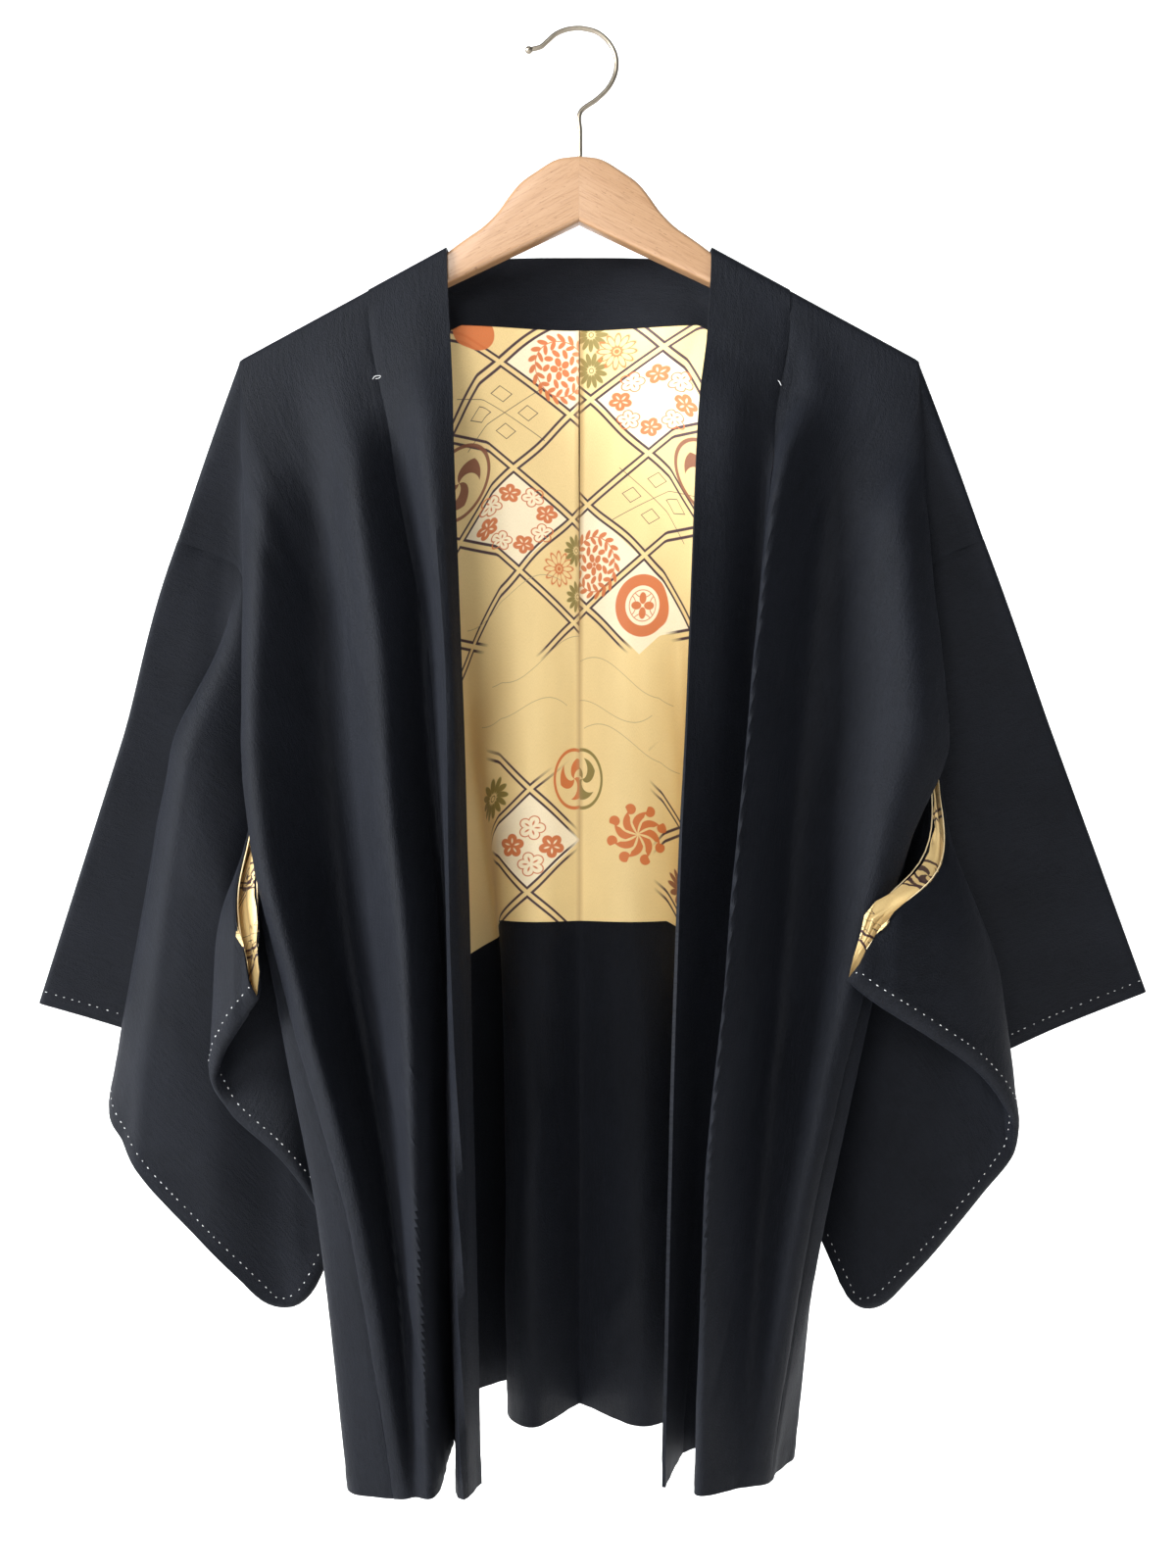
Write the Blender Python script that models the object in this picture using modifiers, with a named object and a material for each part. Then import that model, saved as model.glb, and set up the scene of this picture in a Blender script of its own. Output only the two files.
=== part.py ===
"""Haori jacket hanging open on a flat wooden coat hanger.

Metres, +Z up.  +X is the viewer's right, +Y points away from the viewer.
The origin is the inside top of the hanger's hook, where a rail carries it.

The cloth is drawn in its own flat cut and then mapped into the air:
  a  runs along the shoulder fold, 0 at the hanger's tip, + towards the cuff
  v  runs down the cloth from the shoulder fold
Beyond the tip the cloth hangs as a fan of folds, each a ray from the tip.
Between the tips it hangs in sections whose folds are listed level by level.
Names with "right" and "left" are the wearer's sides.
"""
import math
from collections import namedtuple
from functools import lru_cache

import bpy
import bmesh
import numpy as np

# ---------------------------------------------------------------- hanger (m)
ARM_THICK = 0.013
ARM_ROUND = 0.0026          # bevel of the wood's edges
ARM_TIP_U = 0.210           # half span of the wood
MITRE_GAP = 0.0003
WIRE_RADIUS = 0.0015
HOOK_BALL = 0.0024

# ------------------------------------------------------ cut of the haori (m)
TIP_U, TIP_Z = 0.213, -0.2095      # cloth's fold over the hanger's tip
NECK_U, NECK_Z = 0.083, -0.1387    # cloth's fold where the collar starts
SHOULDER = 0.120                   # a of the armhole seam
SLEEVE_LENGTH = 0.315
SLEEVE_DEPTH = 0.430
ARMHOLE = 0.210                    # sewn length of the armhole seam
CUFF_OPEN = 0.220                  # open length of the cuff
CORNER_RADIUS = 0.035
BODY_LENGTH = 0.745
COLLAR_WIDTH = 0.056
NECK_DROP = 0.043                  # from the shoulder's height to the collar seam at the back
LINING_LENGTH = 0.425              # v of the back lining's hem
WALL = 0.0015                      # cloth with its lining
COLLAR_WALL = 0.0024               # the collar is folded double
LINING_WALL = 0.0010
SEAM_GAP = 0.0003
COLLAR_GAP = 0.0009                # wider, for the collar's thickness on the turn
ARMHOLE_EASE = 0.0005              # extra room at the armhole seam, lower down
FOLD_GAP = 0.0004                  # between front and back along the shoulder fold
MITRE_SPARE = 1.12                 # more than the bare mitre, as the walls curve
LOW_START = 0.06                   # v below which the rows of the back are straight
ARM_CLEAR = 0.0083                 # from the arm's middle plane to the cloth's middle

SLOPE = math.atan2(NECK_Z - TIP_Z, TIP_U - NECK_U)
ARM_RUN = math.hypot(NECK_Z - TIP_Z, TIP_U - NECK_U)
HALF_BACK = ARM_RUN + NECK_U       # |a| of the centre back seam
SEAM_A = COLLAR_WIDTH - ARM_RUN    # a of the collar seam
SIDE_TAPER = 0.030                 # the side seam comes in by this much at the hem

# -------------------------------------------------- folds of the sleeves
# angle: degrees round the tip, 0 on the top fold; out and back: slope of the
# ray per unit of drop; take: share of its length left after the small sags
Ray = namedtuple("Ray", "angle out back take half")
SLEEVE_FOLDS = {
    "right": [
        Ray(0.0, 0.345, 0.100, 1.00, .0050),      # top fold
        Ray(8.0, 0.205, 0.120, 1.00, .0050),
        Ray(12.6, 0.092, 0.124, 1.00, .0024),
        Ray(16.0, 0.054, 0.102, 1.00, .0012),     # far valley
        Ray(19.4, 0.104, 0.074, 1.00, .0024),
        Ray(23.4, 0.181, 0.034, 1.00, .0045),     # outer edge of the round fold
        Ray(28.0, 0.152, -0.010, 1.00, .0050),
        Ray(32.0, 0.118, -0.034, 1.00, .0055),
        Ray(38.3, 0.036, -0.030, 1.00, .0055),
        Ray(45.0, -0.053, -0.004, 1.00, .0050),   # lower corner
        Ray(48.5, -0.095, -0.006, 0.99, .0024),
        Ray(50.7, -0.105, -0.022, 0.985, .0017),  # turn behind the front
        Ray(53.0, -0.092, -0.040, 0.98, .0024),
        Ray(56.0, -0.062, -0.056, 0.965, .0040),
        Ray(61.0, 0.004, -0.068, 0.95, .0034),
        Ray(64.0, 0.020, -0.092, 0.94, .0026),    # outer edge of the near flap
        Ray(66.5, 0.009, -0.118, 0.93, .0034),
        Ray(69.5, -0.012, -0.142, 0.92, .0050),
        Ray(74.4, -0.060, -0.180, 0.895, .0075),  # lower corner of the open edge
    ],
    "left": [
        Ray(0.0, 0.395, 0.110, 1.00, .0050),      # top fold
        Ray(8.0, 0.253, 0.110, 1.00, .0050),
        Ray(16.0, 0.120, 0.100, 1.00, .0050),
        Ray(25.0, -0.030, 0.090, 1.00, .0050),
        Ray(30.0, -0.122, 0.086, 1.00, .0020),
        Ray(33.0, -0.142, 0.060, 1.00, .0012),    # turn behind the front
        Ray(36.0, -0.126, 0.034, 1.00, .0020),
        Ray(39.0, -0.104, 0.014, 1.00, .0040),
        Ray(45.0, -0.052, -0.010, 1.00, .0055),    # lower corner
        Ray(50.4, 0.015, -0.028, 1.00, .0055),
        Ray(55.5, 0.073, -0.036, 1.00, .0050),
        Ray(59.3, 0.110, -0.046, 1.00, .0034),
        Ray(61.3, 0.116, -0.066, 0.985, .0026),   # near edge of the sleeve
        Ray(63.3, 0.102, -0.090, 0.97, .0034),
        Ray(66.0, 0.066, -0.116, 0.945, .0044),
        Ray(69.5, -0.006, -0.150, 0.92, .0055),
        Ray(73.0, -0.112, -0.190, 0.89, .0075),
        Ray(74.4, -0.145, -0.202, 0.88, .0075),   # lower corner of the open edge
    ],
}
SHOULDER_FOLDS = {
    "right": [
        Ray(0.0, 0.365, 0.030, 1.00, .0050),
        Ray(8.0, 0.205, 0.044, 1.00, .0030),
        Ray(16.0, 0.085, 0.055, 1.00, .0018),
        Ray(22.0, 0.032, 0.057, 1.00, .0018),
        Ray(28.0, 0.002, 0.050, 1.00, .0018),
        Ray(34.0, -0.015, 0.038, 1.00, .0020),
        Ray(45.0, -0.030, 0.016, 1.00, .0024),
        Ray(62.0, -0.040, -0.014, 1.00, .0026),
        Ray(90.0, -0.045, -0.045, 1.00, .0040),
    ],
    "left": [
        Ray(0.0, 0.385, 0.030, 1.00, .0050),
        Ray(8.0, 0.235, 0.044, 1.00, .0034),
        Ray(15.0, 0.132, 0.053, 1.00, .0022),
        Ray(22.0, 0.076, 0.055, 1.00, .0018),
        Ray(28.0, 0.052, 0.048, 1.00, .0014),
        Ray(34.0, 0.041, 0.036, 1.00, .0014),
        Ray(45.0, 0.039, 0.014, 1.00, .0024),
        Ray(62.0, 0.044, -0.018, 1.00, .0026),
        Ray(90.0, 0.040, -0.050, 1.00, .0040),
    ],
}
FOLDS_START, FOLDS_FULL = 0.13, 0.255  # distances from the tip
NEAR_START, NEAR_FULL = 0.26, 0.40     # the same for the folds next to the body
NEAR_ANGLES = {"right": (28.0, 48.0), "left": (21.0, 42.0)}   # degrees over which one passes to the other
PINCH_SWING, PINCH_HALF = 2.6, 0.00115  # layers close up where the doubled cloth turns
FOLD_ANGLE = {"right": 65.0, "left": 61.3}   # ray that is the front's outer fold
BACK_ANGLE = 68.0                      # ray where the back turns in
SIDE_TURN_FRONT, SIDE_TURN_BACK = 0.008, 0.018   # from the side seam to that fold, lower down

# ------------------------------------------------ sections of the body (m)
# A row per level v; each column is a fold line that runs down the cloth,
# given as (distance from the middle, depth)
LEVELS = (0.06, 0.12, 0.21, 0.28, 0.41, 0.55, 0.745)
Folds = namedtuple("Folds", "fold bulge valley ridge pleat collar_ridge edge")
FRONT_FOLDS = {
    "right": [
        Folds((.2097, -.0125), (.197, -.016), (.168, -.0100), (.143, -.018),
              (.1220, -.013), (.0980, -.019), (.0790, -.014)),
        Folds((.2090, -.0160), (.197, -.028), (.163, -.0060), (.136, -.034),
              (.1120, -.012), (.0940, -.034), (.0775, -.028)),
        Folds((.2086, -.0240), (.199, -.038), (.160, -.0040), (.121, -.044),
              (.0980, -.012), (.0830, -.046), (.0743, -.036)),
        Folds((.2000, -.0390), (.192, -.048), (.155, -.0060), (.115, -.054),
              (.0940, -.012), (.0778, -.058), (.0710, -.046)),
        Folds((.1690, -.0650), (.160, -.072), (.138, -.0200), (.099, -.088),
              (.0815, -.030), (.0745, -.083), (.0655, -.068)),
        Folds((.1300, -.0960), (.124, -.096), (.113, -.0600), (.092, -.107),
              (.0805, -.034), (.0690, -.100), (.0615, -.082)),
        Folds((.1020, -.1080), (.098, -.109), (.092, -.1080), (.083, -.112),
              (.0765, -.028), (.0660, -.107), (.0577, -.082)),
    ],
    "left": [
        Folds((.2150, -.0130), (.200, -.018), (.165, -.0100), (.140, -.020),
              (.1290, -.013), (.1040, -.017), (.0780, -.014)),
        Folds((.2200, -.0160), (.200, -.032), (.155, -.0060), (.121, -.036),
              (.1180, -.014), (.0920, -.026), (.0730, -.026)),
        Folds((.2290, -.0230), (.204, -.042), (.145, -.0040), (.108, -.048),
              (.1120, -.014), (.0880, -.030), (.0690, -.038)),
        Folds((.2030, -.0360), (.186, -.048), (.138, -.0060), (.100, -.058),
              (.1080, -.016), (.0850, -.034), (.0660, -.044)),
        Folds((.1660, -.0540), (.156, -.060), (.126, -.0200), (.086, -.084),
              (.0970, -.024), (.0760, -.040), (.0590, -.062)),
        Folds((.1360, -.0780), (.128, -.082), (.110, -.0560), (.073, -.104),
              (.0860, -.036), (.0700, -.046), (.0540, -.080)),
        Folds((.1080, -.0880), (.102, -.092), (.092, -.0980), (.068, -.112),
              (.0760, -.036), (.0640, -.042), (.0490, -.088)),
    ],
}
Back = namedtuple("Back", "outer diagonal recess turn bulge_edge bulge centre")
BACK_FOLDS = {
    "right": [
        Back((.198, .0105), (.155, .0125), (.112, .017), (.086, .021),
             (.060, .0255), (.030, .0285), (.0, .0285)),
        Back((.198, .0080), (.155, .0110), (.112, .022), (.085, .026),
             (.060, .0290), (.030, .0320), (.0, .0310)),
        Back((.190, .0040), (.153, .0140), (.112, .035), (.082, .041),
             (.062, .0370), (.030, .0320), (.0, .0360)),
        Back((.184, -.006), (.146, .0140), (.106, .045), (.076, .053),
             (.062, .0400), (.030, .0290), (.0, .0380)),
        Back((.160, -.030), (.126, .0060), (.086, .054), (.058, .066),
             (.0500, .036), (.028, .0230), (.0, .0340)),
        Back((.136, -.046), (.106, .0000), (.068, .062), (.043, .074),
             (.0480, .030), (.030, .0090), (.0, .0360)),
        Back((.120, -.040), (.098, .0020), (.062, .064), (.038, .082),
             (.0460, .022), (.030, .0010), (.0, .0440)),
    ],
    "left": [
        Back((.200, .0105), (.155, .0125), (.112, .017), (.086, .021),
             (.060, .0255), (.030, .0285), (.0, .0285)),
        Back((.202, .0080), (.155, .0110), (.112, .022), (.085, .026),
             (.060, .0290), (.030, .0320), (.0, .0310)),
        Back((.200, .0040), (.153, .0140), (.114, .035), (.086, .041),
             (.064, .0370), (.030, .0320), (.0, .0360)),
        Back((.186, -.003), (.146, .0150), (.110, .045), (.082, .055),
             (.066, .0400), (.032, .0290), (.0, .0380)),
        Back((.158, -.024), (.128, .0100), (.094, .056), (.068, .068),
             (.0630, .038), (.034, .0230), (.0, .0340)),
        Back((.136, -.040), (.110, .0060), (.078, .064), (.054, .076),
             (.0620, .032), (.038, .0090), (.0, .0360)),
        Back((.124, -.040), (.102, .0060), (.072, .066), (.050, .084),
             (.0615, .024), (.040, .0030), (.0, .0440)),
    ],
}
# side seams below the armhole and the outermost line of the gusset between
SIDE_LEVELS = (0.21, 0.28, 0.41, 0.55, 0.745)
Side = namedtuple("Side", "front gusset back")
SIDES = {
    "right": [
        Side(None, None, None),
        Side((.1990, -.0300), (.2010, -.022), (.1945, -.0110)),
        Side((.1706, -.0600), (.1785, -.054), (.1720, -.0330)),
        Side((.1331, -.0925), (.1515, -.082), (.1500, -.0540)),
        Side((.1050, -.1060), (.1310, -.096), (.1290, -.0580)),
    ],
    "left": [
        Side(None, None, None),
        Side((.2010, -.0280), (.2050, -.019), (.1980, -.0070)),
        Side((.1680, -.0480), (.1760, -.040), (.1700, -.0190)),
        Side((.1380, -.0700), (.1480, -.060), (.1480, -.0400)),
        Side((.1120, -.0830), (.1160, -.070), (.1300, -.0480)),
    ],
}


# ------------------------------------------------------------- small maths
def ease(xs, ys, x):
    """Smooth curve through (xs, ys) that never overshoots, at x."""
    xs = np.asarray(xs, float)
    ys = np.asarray(ys, float)
    x = np.clip(np.asarray(x, float), xs[0], xs[-1])
    step = np.diff(xs)
    rise = np.diff(ys) / step
    slope = np.zeros(len(xs))
    slope[0], slope[-1] = rise[0], rise[-1]
    same = rise[:-1] * rise[1:] > 0
    weight_a = 2 * step[1:] + step[:-1]
    weight_b = step[1:] + 2 * step[:-1]
    with np.errstate(divide="ignore", invalid="ignore"):
        mean = (weight_a + weight_b) / (weight_a / rise[:-1] + weight_b / rise[1:])
    slope[1:-1] = np.where(same, mean, 0.0)
    i = np.clip(np.searchsorted(xs, x, side="right") - 1, 0, len(step) - 1)
    t = (x - xs[i]) / step[i]
    return ((1 + 2 * t) * (1 - t) ** 2 * ys[i] + t * (1 - t) ** 2 * step[i] * slope[i]
            + t * t * (3 - 2 * t) * ys[i + 1] + t * t * (t - 1) * step[i] * slope[i + 1])


def smoothstep(low, high, x):
    t = np.clip((np.asarray(x, float) - low) / (high - low), 0.0, 1.0)
    return t * t * (3.0 - 2.0 * t)


def spline(points, samples=10):
    """Dense centripetal Catmull-Rom curve through the points."""
    pts = np.asarray(points, float)
    pts = np.vstack([2 * pts[0] - pts[1], pts, 2 * pts[-1] - pts[-2]])
    knots = np.concatenate([[0], np.cumsum(np.maximum(
        np.linalg.norm(np.diff(pts, axis=0), axis=1), 1e-5) ** 0.5)])
    out = []
    for i in range(1, len(pts) - 2):
        t0, t1, t2, t3 = knots[i - 1:i + 3]
        t = np.linspace(t1, t2, samples, endpoint=False)[:, None]
        a1 = (t1 - t) / (t1 - t0) * pts[i - 1] + (t - t0) / (t1 - t0) * pts[i]
        a2 = (t2 - t) / (t2 - t1) * pts[i] + (t - t1) / (t2 - t1) * pts[i + 1]
        a3 = (t3 - t) / (t3 - t2) * pts[i + 1] + (t - t2) / (t3 - t2) * pts[i + 2]
        b1 = (t2 - t) / (t2 - t0) * a1 + (t - t0) / (t2 - t0) * a2
        b2 = (t3 - t) / (t3 - t1) * a2 + (t - t1) / (t3 - t1) * a3
        out.append((t2 - t) / (t2 - t1) * b1 + (t - t1) / (t2 - t1) * b2)
    out.append(pts[-2][None, :])
    return np.vstack(out)


def along(points, shares, turn=None, samples=10):
    """Points at the given shares of the length of a smooth curve.

    turn: share of the cloth that lies before the curve's second point.
    """
    dense = spline(points, samples)
    run = np.concatenate([[0], np.cumsum(np.linalg.norm(np.diff(dense, axis=0), axis=1))])
    places = np.asarray(shares, float) * run[-1]
    if turn is not None:
        places = np.interp(shares, (0.0, turn, 1.0), (0.0, run[samples], run[-1]))
    return np.stack([np.interp(places, run, dense[:, i]) for i in range(dense.shape[1])], -1)


# ----------------------------------------------------- cloth beyond the tip
def ray_mix(table, angle):
    angles = [ray.angle for ray in table]
    return [ease(angles, [getattr(ray, name) for ray in table], angle)
            for name in ("out", "back", "take", "half")]


def fold_mix(reach, angle, side):
    """How far the sleeve's own folds have taken over from the shoulder's."""
    near = smoothstep(*NEAR_ANGLES[side], angle)
    start = FOLDS_START + (NEAR_START - FOLDS_START) * near
    full = FOLDS_FULL + (NEAR_FULL - FOLDS_FULL) * near
    return smoothstep(0.0, 1.0, (reach - start) / (full - start))


def fan(side, a, v):
    """Middle of the doubled cloth beyond the hanger's tip: (u, y, z)."""
    a = np.asarray(a, float)
    v = np.asarray(v, float)
    reach = np.hypot(a, v)
    angle = np.degrees(np.arctan2(v, np.maximum(a, 1e-9)))
    high = ray_mix(SHOULDER_FOLDS[side], angle)
    low = ray_mix(SLEEVE_FOLDS[side], angle)
    mix = fold_mix(reach, angle, side)
    out, back, take, _ = [(1 - mix) * h + mix * l for h, l in zip(high, low)]
    back = back * smoothstep(0.0, 0.12, reach)
    drop = reach * take / np.sqrt(1 + out * out + back * back)
    return np.stack([TIP_U + out * drop, back * drop, TIP_Z - drop], -1)


def fan_normal(side, a, v):
    """Unit normal of the fan on its front face."""
    d = 0.002
    across = fan(side, np.asarray(a) + d, v) - fan(side, np.maximum(np.asarray(a) - d, 1e-4), v)
    down = fan(side, a, np.asarray(v) + d) - fan(side, a, np.maximum(np.asarray(v) - d, 0.0))
    normal = np.cross(across, down)
    return normal / np.maximum(np.linalg.norm(normal, axis=-1, keepdims=True), 1e-12)


def sleeve_end(a):
    """Lowest v of the sleeve at a, with its rounded lower corner."""
    past = np.maximum(np.asarray(a, float) - (SHOULDER + SLEEVE_LENGTH - CORNER_RADIUS), 0.0)
    past = np.minimum(past, CORNER_RADIUS)
    return SLEEVE_DEPTH - CORNER_RADIUS + np.sqrt(CORNER_RADIUS ** 2 - past ** 2)


def half_gap(side, a, v):
    """Half the distance between the two layers of the sleeve and shoulder."""
    a = np.asarray(a, float)
    v = np.asarray(v, float)
    reach = np.hypot(a, v)
    angle = np.degrees(np.arctan2(v, np.maximum(a, 1e-9)))
    mix = fold_mix(reach, angle, side)
    gap = (1 - mix) * ray_mix(SHOULDER_FOLDS[side], angle)[3]
    gap = gap + mix * ray_mix(SLEEVE_FOLDS[side], angle)[3]
    gap = gap + (ARM_CLEAR - gap) * (1 - smoothstep(0.03, 0.12, reach))
    sewn = smoothstep(CUFF_OPEN, CUFF_OPEN + 0.02, v)
    pinch = smoothstep(SHOULDER + SLEEVE_LENGTH - 0.05, SHOULDER + SLEEVE_LENGTH, a) * sewn
    gap = gap * (1 - pinch) + 0.0016 * pinch
    round_top = (1 - (1 - np.clip(v / gap, 0, 1)) ** 4) ** 0.25
    left = np.clip((sleeve_end(a) - v) / (2 * gap), 0, 1)
    round_low = np.where(a > SHOULDER - 1e-6, np.sqrt(1 - (1 - left) ** 2), 1.0)
    return gap * round_top * round_low


def layer(side, a, v, face):
    """Front (face -1) or back (face +1) layer of the doubled cloth."""
    a = np.asarray(a, float)
    v = np.asarray(v, float)
    half = half_gap(side, a, v)[..., None]
    way = np.zeros(a.shape + (3,))
    for swing in (-PINCH_SWING, 0.0, PINCH_SWING):
        turn = math.radians(swing)
        near_a = np.maximum(a * math.cos(turn) - v * math.sin(turn), 1e-4)
        near_v = np.maximum(v * math.cos(turn) + a * math.sin(turn), 0.0)
        way = way + fan_normal(side, near_a, near_v) / 3
    length = np.linalg.norm(way, axis=-1, keepdims=True)
    pinched = np.maximum(half * length, np.minimum(half, PINCH_HALF)) / length
    turned = smoothstep(0.08, 0.13, np.hypot(a, v))[..., None]
    way = way * pinched * turned + np.array([0.0, 1.0, 0.0]) * half * (1 - turned)
    return fan(side, a, v) + way * face


# -------------------------------------------------- cloth between the tips
def side_a(v):
    """a of the body's side edge."""
    return SHOULDER - SIDE_TAPER * smoothstep(ARMHOLE, BODY_LENGTH, v)


def neck_v(a):
    """v of the back panel's upper edge, where the collar is sewn on."""
    return NECK_DROP * smoothstep(0.0, 0.045, SEAM_A - np.asarray(a, float))


def hang_z(a, v):
    """Height of a point of the body."""
    a = np.asarray(a, float)
    top = np.where(a > 0, TIP_Z, np.minimum(TIP_Z - a * math.sin(SLOPE), NECK_Z))
    slack = ease((0.0, 0.28, 0.41, 0.55, BODY_LENGTH), (1.0, 0.99, 0.965, 0.93, 0.897), v)
    straight = np.clip(-a / ARM_RUN, 0, 1)
    return top - np.hypot(np.maximum(a, 0), v) * (slack + (1.0 - slack) * straight)


def over_arm(side, a, v, face):
    """Smooth cloth close to the shoulder fold."""
    a = np.asarray(a, float)
    reach = np.clip(-a, 0, ARM_RUN)
    past = np.maximum(-a - ARM_RUN, 0.0)
    u = TIP_U - reach * math.cos(SLOPE) - past
    gap = ARM_CLEAR * (1 - (1 - np.clip(v / ARM_CLEAR, 0, 1)) ** 4) ** 0.25
    y = face * gap + (0.0285 - ARM_CLEAR) * smoothstep(0.0, NECK_U, past) * (face > 0)
    inner = np.stack([u, y + 0 * u, hang_z(a, v)], -1)
    outer = layer(side, np.maximum(a, 0.0), v + 0 * a, face)
    step = layer(side, np.zeros(1), np.full(1, v), face)[0]
    step = step - np.array([TIP_U, face * gap, float(hang_z(0.0, v))])
    inner = inner + step * (1 - smoothstep(0.0, 0.06, -a))[:, None]
    return np.where((a > 0)[:, None], outer, inner)


@lru_cache(maxsize=None)
def side_points(side, v, face):
    """(u, y) of the body's side seam and the height it has over hang_z."""
    top = layer(side, np.array([SHOULDER]), np.array([min(v, ARMHOLE)]), face)[0]
    lift = top[2] - float(hang_z(SHOULDER, min(v, ARMHOLE)))
    if v <= ARMHOLE:
        return top[:2], lift
    name = "front" if face < 0 else "back"
    rows = [top[:2]] + [getattr(row, name) for row in SIDES[side][1:]]
    place = np.array([ease(SIDE_LEVELS, [row[i] for row in rows], v) for i in (0, 1)])
    return place, lift * float(1 - smoothstep(ARMHOLE, 0.40, v))


def fold_shares(points, samples=10):
    """Share of the curve's length at each of its points."""
    dense = spline(points, samples)
    run = np.concatenate([[0], np.cumsum(np.linalg.norm(np.diff(dense, axis=0), axis=1))])
    return run[::samples] / run[-1]


def mitre(one, corner, two, wall=WALL):
    """How far a piece stops before a corner so that the walls clear each other."""
    into = (np.asarray(corner) - one) / np.linalg.norm(np.asarray(corner) - one)
    away = (np.asarray(two) - corner) / np.linalg.norm(np.asarray(two) - corner)
    turn = math.acos(float(np.clip(np.dot(into, away), -0.6, 1.0)))
    return SEAM_GAP / 2 + MITRE_SPARE * wall / 2 * math.tan(turn / 2)


@lru_cache(maxsize=None)
def fold_points(side, v, face):
    table = FRONT_FOLDS[side] if face < 0 else BACK_FOLDS[side]
    return [[float(ease(LEVELS, [row[column][i] for row in table], v)) for i in (0, 1)]
            for column in range(len(table[0]))]


def body_row(side, a, v, face):
    """Points of the front (face -1) or back (face +1) panel at one v."""
    a = np.asarray(a, float)
    start, lift = side_points(side, v, face)
    points = [start] + fold_points(side, v, face)
    edge = float(side_a(v))
    end = ARM_RUN if face < 0 else HALF_BACK
    angle = FOLD_ANGLE[side] if face < 0 else BACK_ANGLE
    turn_in = SIDE_TURN_FRONT if face < 0 else SIDE_TURN_BACK
    fold_a = min(v / math.tan(math.radians(angle)), edge - turn_in)
    shares = (edge - a) / (edge + end)
    flat = along(points, shares, (edge - fold_a) / (edge + end))
    z = hang_z(a, v) + lift * (1 - smoothstep(0.0, 0.20, shares))
    folded = np.concatenate([flat, z[:, None]], 1)
    mix = float(smoothstep(0.0, 0.10, v))
    if mix >= 1.0:
        return folded
    return (1 - mix) * over_arm(side, a, v, face) + mix * folded


def gusset_row(side, v, shares):
    """Points across the gusset, from the front seam to the back seam."""
    front, lift = side_points(side, v, -1)
    back, _ = side_points(side, v, 1)
    top = layer(side, np.array([SHOULDER]), np.array([ARMHOLE]), 0)[0, :2]
    rows = [top] + [row.gusset for row in SIDES[side][1:]]
    middle = [ease(SIDE_LEVELS, [row[i] for row in rows], v) for i in (0, 1)]
    flat = along([front, middle, back], shares)
    z = hang_z(side_a(v), v) + lift
    return np.concatenate([flat, np.full((len(flat), 1), float(z))], 1)


@lru_cache(maxsize=None)
def side_inset(side, v, face):
    """How far the body and its neighbour stop short of the side seam."""
    edge = float(side_a(v))
    if v > ARMHOLE + 1e-6:
        near, corner = body_row(side, np.array([edge - 0.005, edge]), v, face)[:, :2]
        shares = np.array([0.25]) if face < 0 else np.array([0.75])
        inset = mitre(near, corner, gusset_row(side, v, shares)[0, :2])
        return inset, inset
    near, corner = body_row(side, np.array([edge - 0.012, edge]), v, face)
    beyond = layer(side, np.array([edge + 0.012]), np.array([v]), face)[0]
    below = layer(side, np.array([edge]), np.array([v + 0.008]), face)[0]
    along_seam = (below - corner) / np.linalg.norm(below - corner)
    square = [p - corner - np.dot(p - corner, along_seam) * along_seam for p in (near, beyond)]
    inset = mitre(square[0], np.zeros(3), square[1])
    inset = inset + ARMHOLE_EASE * float(smoothstep(0.05, 0.09, v))
    body, sleeve_side = [max(float(np.linalg.norm(p)) / 0.012, 0.3) for p in square]
    return inset / body, inset / sleeve_side


# ------------------------------------------------------------ whole pieces
def ray_end(angle):
    """Distance from the tip to the sleeve's cuff or lower edge along a ray."""
    cuff = SHOULDER + SLEEVE_LENGTH
    run, fall = math.cos(math.radians(angle)), math.sin(math.radians(angle))
    ends = [cuff / max(run, 1e-9), SLEEVE_DEPTH / max(fall, 1e-9)]
    a, v = cuff - CORNER_RADIUS, SLEEVE_DEPTH - CORNER_RADIUS
    middle = a * run + v * fall
    inside = middle * middle - a * a - v * v + CORNER_RADIUS ** 2
    if inside > 0:
        arc = middle + math.sqrt(inside)
        if arc * run > a and arc * fall > v:
            ends.append(arc)
    return min(ends)


def sleeve_grid(side, angles, shares, face, levels):
    """One layer of the sleeve: a row for each ray, from the armhole outwards.

    The armhole edge is straight between the levels, as the body's edge is.
    """
    levels = [v for v in levels if v < ARMHOLE] + [ARMHOLE]
    edge = []
    for v in levels:
        a = np.array([SHOULDER + side_inset(side, v, face)[1]])
        edge.append(layer(side, a, np.array([v]), face)[0])
    edge = np.array(edge)
    rows = []
    start = SHOULDER + SEAM_GAP / 2
    last = math.degrees(math.atan2(SLEEVE_DEPTH, start))
    for angle in angles:
        angle = min(angle, last)
        first = start / math.cos(math.radians(angle))
        reach = first + (ray_end(angle) - first) * shares
        a = reach * math.cos(math.radians(angle))
        v = reach * math.sin(math.radians(angle))
        row = layer(side, a, v, face)
        if v[0] <= ARMHOLE:
            row[0] = [np.interp(v[0], levels, edge[:, i]) for i in range(3)]
        else:
            sewn = side_inset(side, ARMHOLE, face)[1] - SEAM_GAP / 2
            sewn = sewn * float(1 - smoothstep(ARMHOLE, ARMHOLE + 0.07, v[0]))
            row[0] = layer(side, a[:1] + sewn, v[:1], face)[0]
        rows.append(row)
    return np.array(rows)


COLUMNS = 19                                        # from the side to the collar's seam
FRONT_MARKS = np.array([0, 2, 4, 8, 13, 18, COLUMNS]) / COLUMNS
BACK_MARKS = np.array([0, 2, 8, 15, COLUMNS]) / COLUMNS


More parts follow.
